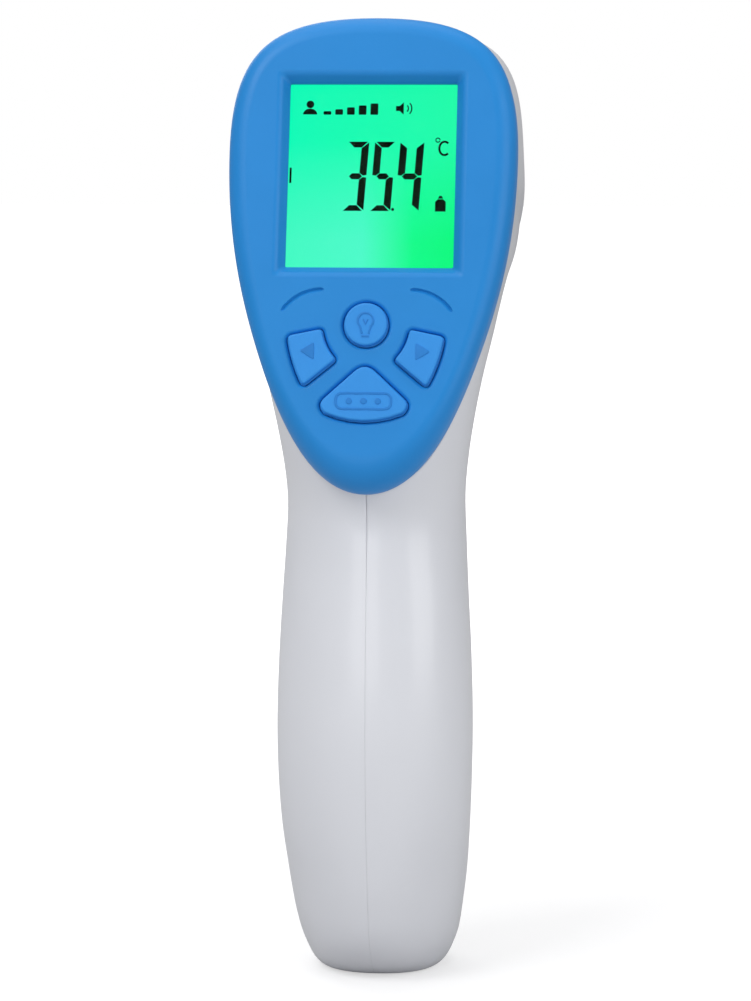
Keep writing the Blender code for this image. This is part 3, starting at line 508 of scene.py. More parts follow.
def moulded(name, colour, change=0.06, rough=(0.3, 0.42), grain=2200.0, bump=0.05, cloud=45.0,
            coat=0.0, metallic=0.0, edge=0.0, specular=0.5, stretch=None):
    """Plastic, rubber or metal with mottled colour, uneven gloss and a fine grain."""
    mat, nodes, links, shader = nodes_of(name)
    place = nodes.new("ShaderNodeTexCoord").outputs["Object"]
    colour = np.array(colour)
    mottle = noise(nodes, links, place, cloud, 4.0, 0.55, stretch)
    stops = [(0.3, tuple(colour * (1.0 - change))), (0.7, tuple(np.clip(colour * (1.0 + change), 0, 1)))]
    links.new(ramp(nodes, links, mottle, stops), shader.inputs["Base Color"])
    streaks = noise(nodes, links, place, cloud * 4.0, 5.0, 0.6, stretch)
    links.new(spread(nodes, links, streaks, *rough), shader.inputs["Roughness"])
    shader.inputs["Metallic"].default_value = metallic
    shader.inputs["Coat Weight"].default_value = coat
    shader.inputs["Coat Roughness"].default_value = 0.12
    shader.inputs["Specular IOR Level"].default_value = specular
    relief = nodes.new("ShaderNodeBump")
    relief.inputs["Strength"].default_value = bump
    relief.inputs["Distance"].default_value = 0.0002
    links.new(noise(nodes, links, place, grain, 2.0, 0.5, stretch), relief.inputs["Height"])
    if edge:
        rounded = nodes.new("ShaderNodeBevel")
        rounded.samples = 4
        rounded.inputs["Radius"].default_value = edge * MM
        links.new(rounded.outputs["Normal"], relief.inputs["Normal"])
    links.new(relief.outputs["Normal"], shader.inputs["Normal"])
    return mat


def glass(name, tint, rough=0.03):
    """Clear moulded window with a faint haze."""
    mat, nodes, links, shader = nodes_of(name)
    place = nodes.new("ShaderNodeTexCoord").outputs["Object"]
    haze = noise(nodes, links, place, 25.0, 2.0)
    tint = np.array(tint)
    stops = [(0.3, tuple(tint * 0.99)), (0.7, tuple(tint))]
    links.new(ramp(nodes, links, haze, stops), shader.inputs["Base Color"])
    links.new(spread(nodes, links, haze, rough * 0.7, rough * 1.3), shader.inputs["Roughness"])
    relief = nodes.new("ShaderNodeBump")
    relief.inputs["Strength"].default_value = 0.004
    relief.inputs["Distance"].default_value = 0.0001
    links.new(noise(nodes, links, place, 60.0, 2.0), relief.inputs["Height"])
    links.new(relief.outputs["Normal"], shader.inputs["Normal"])
    shader.inputs["Transmission Weight"].default_value = 1.0
    shader.inputs["IOR"].default_value = 1.12
    return mat


def lit_display(name):
    """Backlit display glass: green, paler at the lower left."""
    mat, nodes, links, shader = nodes_of(name)
    place = nodes.new("ShaderNodeTexCoord").outputs["Object"]
    split = nodes.new("ShaderNodeSeparateXYZ")
    links.new(place, split.inputs["Vector"])
    bottom = (PANEL @ Vector((0.0, LCD_V - LCD_HALF[1], LCD_TOP)) - ORIGIN).z * MM
    top = (PANEL @ Vector((0.0, LCD_V + LCD_HALF[1], LCD_TOP)) - ORIGIN).z * MM
    half = LCD_HALF[0] * MM
    up = spread(nodes, links, split.outputs["Z"], 0.0, 1.0, bottom, top)
    across = spread(nodes, links, split.outputs["X"], 0.0, 1.0, -half, half)
    low = ramp(nodes, links, across, [
        (0.0, (0.06, 1.0, 0.58)), (0.45, (0.08, 1.0, 0.62)),
        (0.75, (0.005, 1.0, 0.27)), (1.0, (0.002, 0.98, 0.22)),
    ])
    high = ramp(nodes, links, across, [
        (0.0, (0.004, 1.0, 0.50)), (0.5, (0.01, 1.0, 0.46)), (1.0, (0.015, 1.0, 0.42)),
    ])
    mix = nodes.new("ShaderNodeMix")
    mix.data_type = "RGBA"
    links.new(ramp(nodes, links, up, [(0.15, (0, 0, 0)), (0.7, (1, 1, 1))]), mix.inputs["Factor"])
    links.new(low, mix.inputs["A"])
    links.new(high, mix.inputs["B"])
    links.new(mix.outputs["Result"], shader.inputs["Emission Color"])
    shader.inputs["Emission Strength"].default_value = 0.97
    shader.inputs["Base Color"].default_value = (0.001, 0.01, 0.005, 1.0)
    shader.inputs["Specular IOR Level"].default_value = 0.05
    links.new(spread(nodes, links, noise(nodes, links, place, 200.0), 0.2, 0.3), shader.inputs["Roughness"])
    return mat


def cell_wrap(name, low, high):
    """Battery sleeve: dark, with a copper-coloured band at the positive end."""
    mat = moulded(name, (0.02, 0.02, 0.025), 0.15, (0.2, 0.3), 900.0, 0.02, coat=0.5)
    nodes, links = mat.node_tree.nodes, mat.node_tree.links
    shader = nodes["Principled BSDF"]
    split = nodes.new("ShaderNodeSeparateXYZ")
    links.new(nodes.new("ShaderNodeTexCoord").outputs["Object"], split.inputs["Vector"])
    low, high = (low - ORIGIN.z) * MM, (high - ORIGIN.z) * MM
    along = spread(nodes, links, split.outputs["Z"], 0.0, 1.0, low, high)
    table = ramp(nodes, links, along, [
        (0.0, (0.55, 0.55, 0.56)), (0.012, (0.02, 0.02, 0.025)),
        (0.74, (0.62, 0.26, 0.07)), (0.972, (0.6, 0.6, 0.6)),
    ])
    table.node.color_ramp.interpolation = "CONSTANT"
    links.new(table, shader.inputs["Base Color"])
    return mat


WHITE = moulded("pearl_shell", (0.775, 0.79, 0.84), 0.012, (0.30, 0.36), 2600.0, 0.035, 18.0,
                coat=0.3, edge=0.06)
BLUE = moulded("bezel_blue", (0.014, 0.245, 0.66), 0.035, (0.38, 0.48), 2400.0, 0.07, 35.0,
               edge=0.12, specular=0.3)
KEY = moulded("key_blue", (0.031, 0.285, 0.77), 0.04, (0.42, 0.52), 2000.0, 0.08, 60.0,
              edge=0.1, specular=0.3)
# Darker blue of the raised key symbols: painted shade, standing in for the shading round their relief.
SYMBOL_PAINTED_SHADE = moulded("key_symbol_painted_shade", (0.018, 0.21, 0.62), 0.08, (0.45, 0.6), 2000.0, 0.08, 90.0,
               specular=0.3)
BLACK = moulded("black_plastic", (0.028, 0.028, 0.030), 0.12, (0.4, 0.55), 1800.0, 0.1, 70.0,
                edge=0.15)
CHIP = moulded("chip_black", (0.016, 0.016, 0.018), 0.2, (0.45, 0.6), 3000.0, 0.12, 300.0)
BOARD = moulded("solder_mask_green", (0.015, 0.16, 0.055), 0.22, (0.25, 0.4), 1500.0, 0.1,
                400.0, coat=0.4)
DIFFUSER = moulded("light_guide", (0.85, 0.92, 0.88), 0.03, (0.4, 0.5), 900.0, 0.05, 80.0)
STEEL = moulded("plated_steel", (0.60, 0.60, 0.62), 0.07, (0.2, 0.34), 1600.0, 0.06, 250.0,
                metallic=1.0,
                stretch=(1.0, 1.0, 6.0))
CHROME = moulded("polished_reflector", (0.83, 0.80, 0.74), 0.03, (0.06, 0.12), 500.0, 0.02,
                 90.0, metallic=1.0)
RED = moulded("lead_red", (0.52, 0.015, 0.015), 0.1, (0.3, 0.4), 1200.0, 0.05, 150.0)
INK = moulded("segment_ink", (0.0015, 0.010, 0.003), 0.3, (0.4, 0.5), 2000.0, 0.02, 200.0,
              specular=0.05)
FILTER = moulded("sensor_filter", (0.05, 0.03, 0.09), 0.3, (0.08, 0.14), 900.0, 0.01, 200.0,
                 coat=1.0)
CLEAR = glass("clear_window", (0.97, 0.99, 0.98))
LCD = lit_display("lit_display")


# ------------------------------------------------------------------- housing
def side_of(station, inset_by=0.0, start=0.0):
    """Points of one side of a section, rear seam to front seam, evenly spaced."""
    rear, front = station[0:2], station[2:4]
    half, rear_box, front_box, shift = station[4:]
    middle, reach = (rear + front) / 2, (rear - front) / 2
    reach = reach * (1.0 - inset_by / np.linalg.norm(reach))
    u = np.linspace(0.0, 1.0, 900)
    a = math.pi * (3.0 * u**2 - 2.0 * u**3)
    c, s = np.cos(a), np.sin(a)
    power = np.where(c > 0.0, rear_box, front_box)
    d = np.sign(c) * np.abs(c) ** (2.0 / power) - shift * s * s
    x = (half - inset_by) * np.abs(s) ** (2.0 / power)
    curve = np.column_stack([x, middle[0] + reach[0] * d, middle[1] + reach[1] * d])
    curve = curve[curve[:, 0] >= start]
    length = np.concatenate([[0.0], np.cumsum(np.linalg.norm(np.diff(curve, axis=0), axis=1))])
    at = np.linspace(0.0, length[-1], SIDE_POINTS)
    return np.column_stack([np.interp(at, length, curve[:, k]) for k in range(3)])


def lip_width(height):
    """The seam's rounded lip: open under the display, all but closed on the grip."""
    start, span = LIP_HEIGHTS
    return LIP_CLOSED + LIP_OPEN * smoothstep((height - start) / span)


def half_ring(station, side):
    """Closed outline of one half of the housing, with a rolled lip at the seam."""
    rear, front = station[0:2], station[2:4]
    inward = (front - rear) / np.linalg.norm(front - rear)
    lip = [lip_width(rear[1]), lip_width(front[1])]
    arc = side_of(station, start=SEAM + max(lip))
    arc[0, 0], arc[-1, 0] = SEAM + lip[0], SEAM + lip[1]
    roll = ((0.0, 1.4), (0.0, 0.75), (0.12, 0.35), (0.45, 0.08))
    head = [(SEAM + lip[0] * x, *(rear + inward * lip[0] * depth)) for x, depth in roll]
    tail = [(SEAM + lip[1] * x, *(front - inward * lip[1] * depth)) for x, depth in roll[::-1]]
    ring = np.vstack([head, arc, tail])
    return ring * (side, 1.0, 1.0)


def full_ring(station, inset_by=0.0):
    right = side_of(station, inset_by)
    left = right[-2:0:-1] * (-1.0, 1.0, 1.0)
    return np.vstack([right, left])


def cavity():
    """The space inside the housing's wall."""
    rows = catmull(STATIONS, 3)
    lowest = STATIONS[0][1] + WALL + 0.2
    rings = [full_ring(row, WALL) for row in rows if row[1] > lowest]
    last = rings[-1] + (0.0, 4.0, 0.0)
    return loft("cavity", [*rings, last])


def openings():
    """Seat of the bezel, trigger slot and door opening in one tool."""
    tools = [
        box("seat", (-40.0, -29.5, SEAT), (40.0, 70.0, 40.0), PANEL),
        box("slot", (-TRIGGER_HALF - GAP, 9.0, 81.0), (TRIGGER_HALF + GAP, 24.5, 110.0)),
        box("door", (-DOOR_HALF - GAP, 5.5, DOOR_Z[0] - GAP), (DOOR_HALF + GAP, 30.0, DOOR_Z[1] + GAP)),
    ]
    return join("openings", tools)


def hinge_lug(side):
    """The housing's ear that holds the door's pin."""
    return cylinder("lug", (side * LUG_X, *HINGE), HINGE_R, 2.6, "X", 32)


def make_housing(side, name):
    rows = catmull(STATIONS, ROWS_PER_STATION)
    obj = loft(name, [half_ring(row, side) for row in rows])
    boolean(obj, cavity())
    boolean(obj, openings())
    boolean(obj, cylinder("knuckle", (0, *HINGE), HINGE_R + HINGE_PLAY, 6.6, "X"))
    if side < 0:
        bores = [cylinder("bore", (-floor - 10.0, y, z), 2.6, 20.0, "X") for y, z, floor in CASE_SCREWS]
        boolean(obj, join("bores", bores))
    boolean(obj, hinge_lug(side), "UNION")
    return piece(obj, "housing", WHITE, "shell_white", name.replace("_shell", ""))


def make_screw_wells():
    """Boss walls seen inside the left half's screw holes, trimmed to the shell."""
    wells = []
    for y, z, floor in CASE_SCREWS:
        profile = (
            (2.62, -30.0), (3.3, -30.0), (3.3, 1.5 - floor),
            (1.45, 1.5 - floor), (1.45, -floor), (2.62, -floor),
        )
        wells.append(turned("well", profile, "X", (0, y, z), 40))
    obj = join("screw_wells", wells)
    boolean(obj, loft("core", [full_ring(row, 0.9) for row in catmull(STATIONS, 3)]), "INTERSECT")
    return piece(obj, "housing", WHITE, "shell_white")


def make_door():
    rows = catmull(STATIONS, ROWS_PER_STATION)
    rows = rows[(rows[:, 1] > 3.0) & (rows[:, 1] < 80.0)]
    obj = loft("battery_door_cover", [full_ring(row) for row in rows])
    boolean(obj, cavity())
    boolean(obj, box("keep", (-DOOR_HALF, 5.5, DOOR_Z[0]), (DOOR_HALF, 30.0, DOOR_Z[1])), "INTERSECT")
    boolean(obj, cylinder("knuckle", (0, *HINGE), HINGE_R, 6.0, "X"), "UNION")
    lugs = [
        cylinder("lug", (s * LUG_X, *HINGE), HINGE_R + HINGE_PLAY, 3.2, "X") for s in (1, -1)
    ]
    boolean(obj, join("lugs", lugs))
    ridges = []
    for i in range(4):
        z = 55.6 + 1.9 * i
        ridges.append(cylinder("ridge", (0, 16.2, z), 0.75, 10.5 - 1.6 * i, "X", 24))
    boolean(obj, join("ridges", ridges))
    arrow = [(-2.2, 51.6), (2.2, 51.6), (0.0, 49.0)]
    tool = loft("arrow", [[(x, y, z) for x, z in arrow] for y in (15.6, 18.0)])
    boolean(obj, tool)
    return piece(obj, "door", WHITE, "shell_white", "battery_door")


# --------------------------------------------------------------------- bezel
def rim_drop(v):
    return RIM_DROP + (TIP_DROP - RIM_DROP) * smoothstep((-v - 4.0) / 22.0)


def flared(name, outline, radius, low):
    """Cutter for a hole in the face whose upper edge is rounded outwards."""
    rings = [[(x, v, 0.6) for x, v in inset(outline, -radius)]]
    for a in np.linspace(math.pi / 2, 0.0, 6):
        grow = radius * (1.0 - math.cos(a))
        rings.append([(x, v, -radius * (1.0 - math.sin(a))) for x, v in inset(outline, -grow)])
    rings.append([(x, v, low) for x, v in outline])
    return loft(name, rings, PANEL)


def window_cutter():
    slope = [(r - l) / RECESS_DEPTH for r, l in zip(RECESS_HALF, LCD_HALF)]
    rings = []
    for h, extra in ((0.6, RECESS_SOFT), (0.0, RECESS_SOFT), (-0.05, 0.48), (-0.2, 0.2), (-0.5, 0.0)):
        grow = RECESS_DEPTH + min(h, 0.0)
        half = [l + s * grow + extra for l, s in zip(LCD_HALF, slope)]
        rings.append([(x, v, h) for x, v in rectangle(*half, 0.7, (0.0, LCD_V))])
    for h in (-RECESS_DEPTH, FACE_BACK - 1.0):
        rings.append([(x, v, h) for x, v in rectangle(*LCD_HALF, 0.3, (0.0, LCD_V))])
    return loft("window", rings, PANEL)


def arc_groove(side):
    """Soft decorative groove above a side key, tapering out at both ends."""
    start, end, normal = np.array((6.95, 6.1)), np.array((13.6, 2.6)), np.array((0.466, 0.885))
    rings = []
    for t in np.linspace(0.0, 1.0, 33):
        x, v = start + (end - start) * t + normal * 0.95 * 4 * t * (1 - t)
        along = (end - start) + normal * 0.95 * 4 * (1 - 2 * t)
        across = np.array((-along[1], along[0])) / np.linalg.norm(along)
        size = 0.5 + 0.5 * smoothstep(min(t, 1.0 - t) / 0.06)
        section = [
            (0.5, 0.4), (0.34, 0.03), (0.24, -0.3), (0.08, -0.46),
            (-0.12, -0.3), (-0.42, 0.03), (-0.6, 0.4),
        ]
        rings.append([
            (side * (x + across[0] * w * size), v + across[1] * w * size, h if h > 0.0 else h * size)
            for w, h in section
        ])
    return loft("arc", rings, PANEL, sharp=60.0)


def make_bezel():
    outer, face = bezier_outline(OUTLINE), bezier_outline(FACE)
    rings = [[(x, v, SKIRT) for x, v in inset(outer, 0.25)], [(x, v, SKIRT + 0.25) for x, v in outer]]
    for angle in np.linspace(0.0, math.pi / 2, RIM_STEPS):
        out, up = 1.0 - math.cos(angle), 1.0 - math.sin(angle)
        ring = outer + (face - outer) * out
        rings.append([(x, v, -rim_drop(v0) * up) for (x, v), (_, v0) in zip(ring, outer)])
    obj = loft("rear_bezel_cover", rings, PANEL)
    pocket = [
        [(x, v, SKIRT - 1.0) for x, v in inset(outer, 1.9)],
        [(x, v, SKIRT + 0.6) for x, v in inset(outer, 2.1)],
        [(x, v, FACE_BACK) for x, v in inset(face, 0.6)],
    ]
    boolean(obj, loft("pocket", pocket, PANEL))
    boolean(obj, window_cutter())
    for outline in KEYS.values():
        boolean(obj, flared("key_hole", inset(outline, -KEY_GAP), KEY_SLOPE, FACE_BACK - 1.0))
    for side in (1, -1):
        boolean(obj, arc_groove(side))
    return piece(flat_faces_first(obj), "housing", BLUE, "bezel_blue", "rear_bezel")


# ---------------------------------------------------------------------- keys
def make_key(name, outline):
    """A key cap with a flange and a rounded edge."""
    rings = []
    for h, grow in ((-3.4, 0.75), (-2.6, 0.75), (-2.6, 0.0), (-0.5, 0.0), (-0.4, -KEY_STEP)):
        rings.append([(x, v, h) for x, v in inset(outline, -grow)])
    for a in np.linspace(0.0, math.pi / 2, 7):
        rings.append([
            (x, v, KEY_RISE - KEY_EDGE * (1.0 - math.sin(a)))
            for x, v in inset(outline, KEY_STEP + KEY_EDGE * (1.0 - math.cos(a)))
        ])
    rings.append([(x, v, KEY_RISE) for x, v in inset(outline, KEY_STEP + KEY_EDGE + 0.06)])
    obj = loft("key_%s_cap" % name, rings, PANEL, sharp=50.0)
    return piece(flat_faces_first(obj), name + "_key", KEY, "key_blue", "key_" + name)


def raised(name, outlines, body):
    """Raised symbol on a key: closed outlines with a softened edge, coloured a darker blue as painted
    shade.
    """
    lifted = [np.asarray(outline) + (0.0, KEY_LIFT) for outline in outlines]
    parts = [plate(name, outline, SYMBOL_LOW, SYMBOL_TOP, soft=SYMBOL_EDGE) for outline in lifted]
    return piece(join(name, parts), body, SYMBOL_PAINTED_SHADE, "key_blue")


def stroke(path, width, closed=False):
    """Outline of a line of even width along a path, with square ends."""
    path = np.asarray(path, float)
    ahead = np.roll(path, -1, 0) - np.roll(path, 1, 0)
    if not closed:
        ahead[0], ahead[-1] = path[1] - path[0], path[-1] - path[-2]
    normal = np.stack([-ahead[:, 1], ahead[:, 0]], 1)
    normal /= np.linalg.norm(normal, axis=1)[:, None]
    return np.vstack([path + normal * width / 2, (path - normal * width / 2)[::-1]])


def make_symbols():
    for side, name in ((-1, "left"), (1, "right")):
        tip, back = side * 10.4, side * 8.1
        arrow = [(tip, -4.4), (back, -3.0), (back, -5.8)]
        arrow = arrow if side < 0 else arrow[::-1]
        raised("arrow_" + name, [soften(arrow, [0.35] * 3, 4)], name + "_key")
    a = np.radians(np.linspace(-48.0, 228.0, 22))
    bulb = np.column_stack([1.25 * np.cos(a), 0.55 + 1.25 * np.sin(a)])
    neck = [(-0.55, -1.55), (0.55, -1.55)]
    lamp = [stroke(np.vstack([neck[1], bulb, neck[0]]), 0.3)]
    lamp.append(stroke([(-0.6, -1.95), (0.6, -1.95)], 0.32))
    lamp.append(stroke([(-0.35, 0.75), (0.0, -0.1), (0.35, 0.75)], 0.22))
    raised("bulb_mark", lamp, "lamp_key")
    raised("mode_dots", [circle(0.5, 24, (x, SYMBOL_PILL_V)) for x in (-2.3, 0.0, 2.3)], "mode_key")
    pill = rectangle(4.6, 1.45, 1.4, (0.0, SYMBOL_PILL_V + KEY_LIFT), 8)
    low, high = SYMBOL_LOW, SYMBOL_TOP
    shoulder = high - SYMBOL_EDGE
    section = (
        (0.0, low), (0.0, shoulder), (SYMBOL_EDGE, high),
        (0.31, high), (0.36, shoulder), (0.36, low),
    )
    rings = [[(x, v, h) for x, v in inset(pill, d)] for d, h in (*section, section[0])]
    band = loft("mode_ring", rings, PANEL, ends=(False, False))
    piece(band, "mode_key", SYMBOL_PAINTED_SHADE, "key_blue")


# ------------------------------------------------------------------- display
def digit(left, low, width, height, lit):
    """Lit segments of a slanted seven-segment digit."""
    w, h, t = width, height, DIGIT_STROKE
    m, g = h / 2, DIGIT_GAP
    shapes = {
        "a": [(g + 0.1, h), (w - g - 0.1, h), (w - t, h - t * 0.8), (t, h - t * 0.8)],
        "d": [(g + 0.1, 0), (t, t * 0.8), (w - t, t * 0.8), (w - g - 0.1, 0)],
        "b": [
            (w, h - g), (w, m + g + 0.1), (w - t * 0.5, m + g), (w - t, m + t * 0.5),
            (w - t, h - t * 0.8 - g),
        ],
        "c": [(w, m - g - 0.1), (w, g), (w - t, t * 0.8 + g), (w - t, m - t * 0.5), (w - t * 0.5, m - g)],
        "f": [(0, h - g), (t, h - t * 0.8 - g), (t, m + t * 0.5), (t * 0.5, m + g), (0, m + g + 0.1)],
        "g": [
            (t * 0.6, m), (t, m + t * 0.42), (w - t, m + t * 0.42),
            (w - t * 0.6, m), (w - t, m - t * 0.42), (t, m - t * 0.42),
        ],
    }
    return [[(left + x + DIGIT_SLANT * y, low + y) for x, y in shapes[s]] for s in lit]


def make_readout():
    """Digits, unit mark and small signs, as thin plates on the display glass."""
    low, height = 19.65, 11.35
    outlines = []
    for left, width, lit in ((-4.85, 3.5, "abgcd"), (-0.4, 3.4, "afgcd"), (3.7, 3.85, "fbgc")):
        outlines += digit(left, low, width, height, lit)
    outlines.append(circle(0.24, 16, (3.38, low + 0.26)))
    outlines.append(stroke(circle(0.34, 20, (10.4, 31.3)), 0.16, True))
    a = np.radians(np.linspace(48.0, 312.0, 18))
    outlines.append(stroke(np.column_stack([11.5 + 0.85 * np.cos(a), 29.95 + 1.1 * np.sin(a)]), 0.34))
    outlines += [
        [(10.2, 19.6), (11.9, 19.6), (11.9, 21.2), (11.45, 21.6), (10.65, 21.6), (10.2, 21.2)],
        [(10.65, 21.72), (11.45, 21.72), (11.25, 22.15), (10.85, 22.15)],
        [(3.5, 36.1), (4.1, 36.1), (4.75, 35.5), (4.75, 37.5), (4.1, 36.9), (3.5, 36.9)],
    ]
    for r in (0.75, 1.3):
        a = np.radians(np.linspace(-42.0, 42.0, 8))
        outlines.append(stroke(np.column_stack([4.75 + r * np.cos(a), 36.5 + r * np.sin(a)]), 0.2))
    outlines += figure_sign()
    outlines.append([(-13.45, 24.2), (-13.12, 24.2), (-13.12, 26.7), (-13.45, 26.7)])
    parts = [plate("segment", o, LCD_TOP + 0.03, LCD_TOP + 0.09) for o in outlines]
    return piece(join("display_segments", parts), "housing", INK, "chip_black")


def figure_sign():
    """Generic sign beside the speaker: a head and shoulders, and a row of level bars."""
    a = np.radians(np.linspace(0.0, 180.0, 12))
    shoulders = np.column_stack([-10.4 + 1.15 * np.cos(a), 35.5 + 0.95 * np.sin(a)])
    signs = [circle(0.62, 20, (-10.4, 37.15)), shoulders]
    for k in range(5):
        x = -7.6 + 1.9 * k
        signs.append(rectangle(0.62, 0.28 + 0.16 * k, 0.1, (x, 35.75 + 0.16 * k), 2))
    return signs


# ------------------------------------------------------------------- trigger
def make_trigger():
    front = catmull([
        (22.9, 107.6), (22.3, 102.5), (21.5, 97.5), (21.3, 92.5), (22.3, 88.0), (24.0, 84.9), (24.6, 83.6),
    ], 6)
    rest = [
        (24.0, 82.9), (20.5, 82.6), (14.2, 82.9), (13.4, 84.0), (13.4, 96.0), (11.6, 99.0), (7.0, 101.2),
        (-2.0, 102.2), (-2.4, 102.8), (-2.2, 104.4), (6.0, 105.0), (12.0, 106.0), (17.0, 107.8),
        (22.6, 108.1),
    ]
    side = [*map(tuple, front), *rest]
    obj = loft("trigger_lever_cover", [[(x, y, z) for y, z in side] for x in (-TRIGGER_HALF, TRIGGER_HALF)])
    mod = obj.modifiers.new("Bevel", "BEVEL")
    mod.width = 1.1 * MM
    mod.segments = 5
    mod.limit_method = "ANGLE"
    mod.angle_limit = math.radians(50.0)
    applied(obj)
    tidy_mesh(obj)
    boolean(obj, cylinder("pin_hole", (0, *TRIGGER_PIVOT), 1.7, 20.0, "X"))
    boolean(obj, box("spring_seat", (-TRIGGER_HALF - 1.0, -3.5, 103.0), (TRIGGER_HALF + 1.0, 2.6, 108.0)))
    grooves = []
    for y, z in ((21.75, 97.0), (21.6, 94.9), (21.6, 92.8), (21.8, 90.7), (22.2, 88.7)):
        grooves.append(cylinder("groove", (0, y, z), 0.55, 7.2, "X", 20))
    boolean(obj, join("grooves", grooves))
    return piece(obj, "trigger_lever", BLUE, "bezel_blue", "trigger")


# ---------------------------------------------------------------------- nose
def make_nose():
    """Nose ring and sensor; heights are from the housing's front edge."""
    centre = (0, NOSE_Y, NOSE_Z)
    turn = np.linspace(0.0, math.pi * 0.93, 16)
    lip = [(14.45 + 1.55 * math.cos(a), 4.6 + 3.4 * math.sin(a)) for a in turn]
    ring = [
        (13.7, -5.0), (13.7, 0.3), (15.85, 0.3), (16.0, 0.45),
        *lip, (12.6, 4.0), (12.2, 2.0), (12.2, -5.0),
    ]
    piece(turned("nose_ring_cover", ring, "Y", centre, 128), "housing", BLUE, "bezel_blue", "nose_ring")
    cone = [(3.4, -10.2), (5.0, -10.2), (5.0, -9.4), (10.9, 2.0), (11.8, 2.6), (11.8, 4.0), (10.4, 4.0)]
    curve = [(10.4 - 6.9 * smoothstep(t) ** 0.8, 4.0 - 13.4 * t) for t in np.linspace(0.08, 1.0, 12)]
    piece(turned("reflector_cone", cone + curve, "Y", centre, 96), "housing", CHROME, "reflector_chrome",
          "sensor_reflector")
    can = [
        (0.0, -17.4), (4.1, -17.4), (4.1, -16.5), (4.0, -16.4), (3.7, -16.4), (3.7, -11.5), (3.6, -11.2),
        (3.3, -11.0), (1.5, -11.0), (1.4, -11.1), (1.4, -11.45), (0.0, -11.45),
    ]
    piece(turned("sensor_can", can, "Y", centre, 64), "housing", STEEL, "bright_steel", "thermopile_sensor")
    disc = [(0.0, -11.43), (1.36, -11.43), (1.36, -11.25), (1.2, -11.2), (0.0, -11.2)]
    piece(turned("sensor_filter_disc", disc, "Y", centre, 48), "housing", FILTER, "chip_black")


# ------------------------------------------------------------------- battery
def coil(x, y, low, high, radius, turns, steps=24):
    count = int(turns * steps) + 1
    k = np.arange(count)
    return np.column_stack([
        x + radius * np.cos(math.tau * k / steps),
        y + radius * np.sin(math.tau * k / steps),
        low + (high - low) * k / (count - 1),
    ])


def make_battery():
    for number, side, flip in ((1, 1, False), (2, -1, True)):
        low = 16.2 if flip else 19.3
        profile = [
            (0.0, 0.0), (4.3, 0.0), (4.6, 0.1), (CELL_R - 0.25, 0.3), (CELL_R, 0.6),
            (CELL_R, 42.9), (5.0, 43.3),
            (4.7, 43.4), (2.4, 43.4), (2.4, 43.9), (2.2, 44.3), (1.9, CELL_LENGTH), (0.0, CELL_LENGTH),
        ]
        if flip:
            profile = [(r, CELL_LENGTH - h) for r, h in profile]
        ends = (low + CELL_LENGTH, low) if flip else (low, low + CELL_LENGTH)
        cell = turned("cell_%d" % number, profile, "Z", (side * CELL_X, CELL_Y, low), 64)
        wrap = cell_wrap("cell_wrap_%d" % number, *ends)
        piece(cell, "housing", wrap, "cell_wrap", "battery_%d" % number)
        spring = (61.3, 64.4) if flip else (15.6, 18.7)
        wound = wire("cell_spring_%d" % number, coil(side * CELL_X, CELL_Y, *spring, 3.0, 3), 0.3)
        piece(wound, "housing", STEEL, "bright_steel", "contact_spring_%d" % number)


# -------------------------------------------------------------------- screws
def make_screws():
    """Cross-head screws at the bottom of the left half's bores."""
    for i, (y, z, floor) in enumerate(CASE_SCREWS):
        tip, seat = 7.6, -floor - GAP
        dome = np.linspace(0.0, math.pi / 2, 8)
        head = [(2.2 * math.cos(a), seat - 0.9 - 0.8 * math.sin(a)) for a in dome]
        head[-1] = (0.0, seat - 1.7)
        thread = []
        for k in range(14):
            at = seat + 1.5 + k * 1.05
            if at < tip - 1.4:
                thread = [(1.05, at + 0.7), (1.2, at + 0.35), (1.05, at)] + thread
        profile = [(0.0, tip), (0.5, tip), (1.05, tip - 0.9), *thread, (1.05, seat), (2.2, seat), *head]
        screw = turned("screw_%d" % (i + 1), profile, "X", (0, y, z), 40)
        arms = [
            box("arm", (seat - 3.0, y - 1.2, z - 0.27), (seat - 0.75, y + 1.2, z + 0.27)),
            box("arm", (seat - 3.0, y - 0.27, z - 1.2), (seat - 0.75, y + 0.27, z + 1.2)),
        ]
        for arm in arms:
            boolean(screw, arm)
        piece(screw, "housing", STEEL, "bright_steel", "case_screw_%d" % (i + 1))


# --------------------------------------------------------- carried CAD nodes
FINISH = {
    "shell_white": WHITE, "bezel_blue": BLUE, "key_blue": KEY, "clear_window": CLEAR, "lcd_green": LCD,
    "diffuser_white": DIFFUSER, "black_plastic": BLACK, "chip_black": CHIP, "board_green": BOARD,
    "bright_steel": STEEL, "reflector_chrome": CHROME, "cell_wrap": BLACK, "lead_red": RED,
}


def dress_frame():
    """Gives every carried CAD node the material of its slot."""
    for part in frame["record"]["subparts"]:
        node = frame["nodes"][part["node"]]
        node.data.materials.clear()
        node.data.materials.append(FINISH[part["material_slot"]])


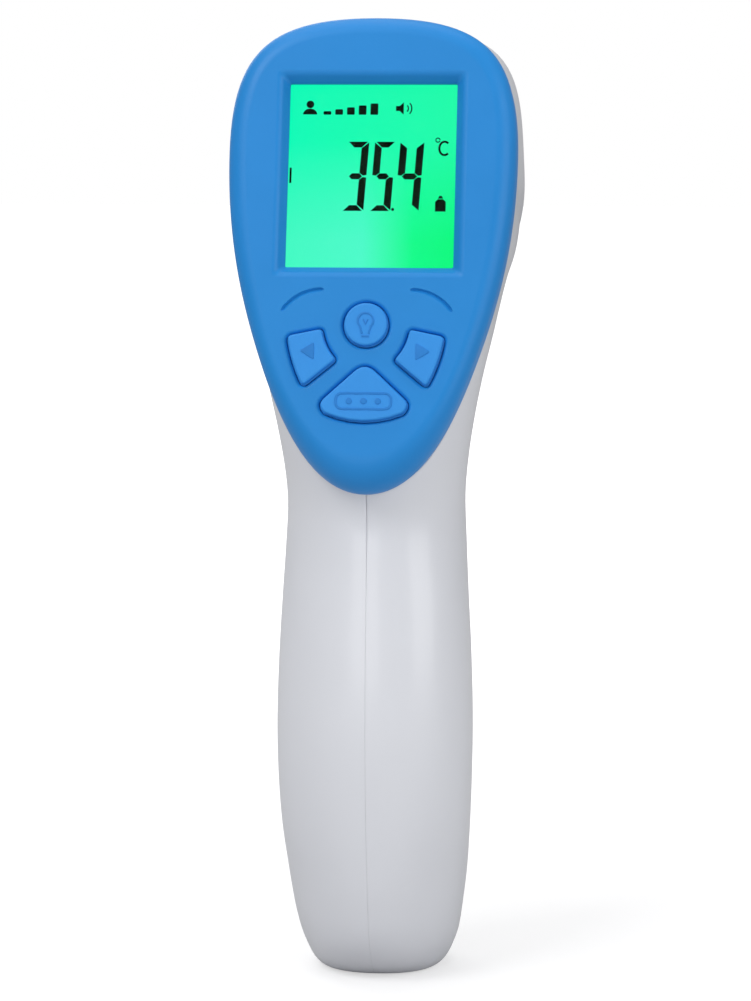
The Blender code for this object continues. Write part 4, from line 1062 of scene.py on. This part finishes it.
# --------------------------------------------------------------------- stage
def make_stage():
    """Pale floor that fades into the white surroundings, with a soft shadow."""
    corners = [(x * FLOOR_HALF, y * FLOOR_HALF, 0) for x, y in ((-1, -1), (1, -1), (1, 1), (-1, 1))]
    mesh = bpy.data.meshes.new("floor")
    mesh.from_pydata(corners, [], [(0, 1, 2, 3)])
    floor = bpy.data.objects.new("floor", mesh)
    bpy.context.scene.collection.objects.link(floor)
    mat = moulded("pale_floor", (0.55, 0.55, 0.555), 0.01, (0.6, 0.7), 300.0, 0.02, 3.0, specular=0.0)
    nodes, links = mat.node_tree.nodes, mat.node_tree.links
    shader = nodes["Principled BSDF"]
    away = nodes.new("ShaderNodeVectorMath")
    away.operation = "LENGTH"
    links.new(nodes.new("ShaderNodeTexCoord").outputs["Object"], away.inputs[0])
    seen = nodes.new("ShaderNodeLightPath").outputs["Is Camera Ray"]
    glow = nodes.new("ShaderNodeMath")
    glow.operation = "MULTIPLY"
    links.new(spread(nodes, links, away.outputs["Value"], FLOOR_GLOW, 1.0, 0.05, 0.5), glow.inputs[0])
    links.new(seen, glow.inputs[1])
    links.new(glow.outputs["Value"], shader.inputs["Emission Strength"])
    shader.inputs["Emission Color"].default_value = (1.0, 1.0, 1.0, 1.0)
    mesh.materials.append(mat)


def make_light(name, place, size, power):
    data = bpy.data.lights.new(name, "AREA")
    data.shape = "RECTANGLE"
    data.size, data.size_y = size
    data.energy = power
    obj = bpy.data.objects.new(name, data)
    obj.location = place
    obj.rotation_euler = (Vector(LIGHT_AIM) - Vector(place)).to_track_quat("-Z", "Y").to_euler()
    bpy.context.scene.collection.objects.link(obj)


def make_world():
    world = bpy.data.worlds.new("studio")
    bpy.context.scene.world = world
    world.use_nodes = True
    nodes, links = world.node_tree.nodes, world.node_tree.links
    back = nodes["Background"]
    back.inputs["Color"].default_value = (1.0, 1.0, 1.0, 1.0)
    seen = nodes.new("ShaderNodeLightPath").outputs["Is Camera Ray"]
    links.new(spread(nodes, links, seen, WORLD_LIGHT, 1.0, 0.0, 1.0), back.inputs["Strength"])


def make_camera():
    aim = (Vector(CAMERA_AIM) - ORIGIN) * MM
    azimuth, elevation = math.radians(CAMERA_AZIMUTH), math.radians(CAMERA_ELEVATION)
    back = Vector((
        math.sin(azimuth) * math.cos(elevation),
        -math.cos(azimuth) * math.cos(elevation),
        math.sin(elevation),
    ))
    data = bpy.data.cameras.new("camera")
    data.lens = CAMERA_LENS
    data.sensor_width = SENSOR_WIDTH
    data.clip_start = 0.05
    camera = bpy.data.objects.new("camera", data)
    camera.location = aim + back * CAMERA_DISTANCE
    camera.rotation_euler = back.to_track_quat("Z", "Y").to_euler()
    bpy.context.scene.collection.objects.link(camera)
    bpy.context.scene.camera = camera


# ---------------------------------------------------------------------- build
dress_frame()
make_housing(1, "right_housing_shell")
make_housing(-1, "left_housing_shell")
make_screw_wells()
make_door()
make_bezel()
for key_name, key_outline in KEYS.items():
    make_key(key_name, key_outline)
make_symbols()
make_readout()
make_trigger()
make_nose()
make_battery()
make_screws()

make_stage()
make_world()
for light in LIGHTS:
    make_light(*light)
make_camera()
bpy.context.scene.view_settings.view_transform = "Standard"
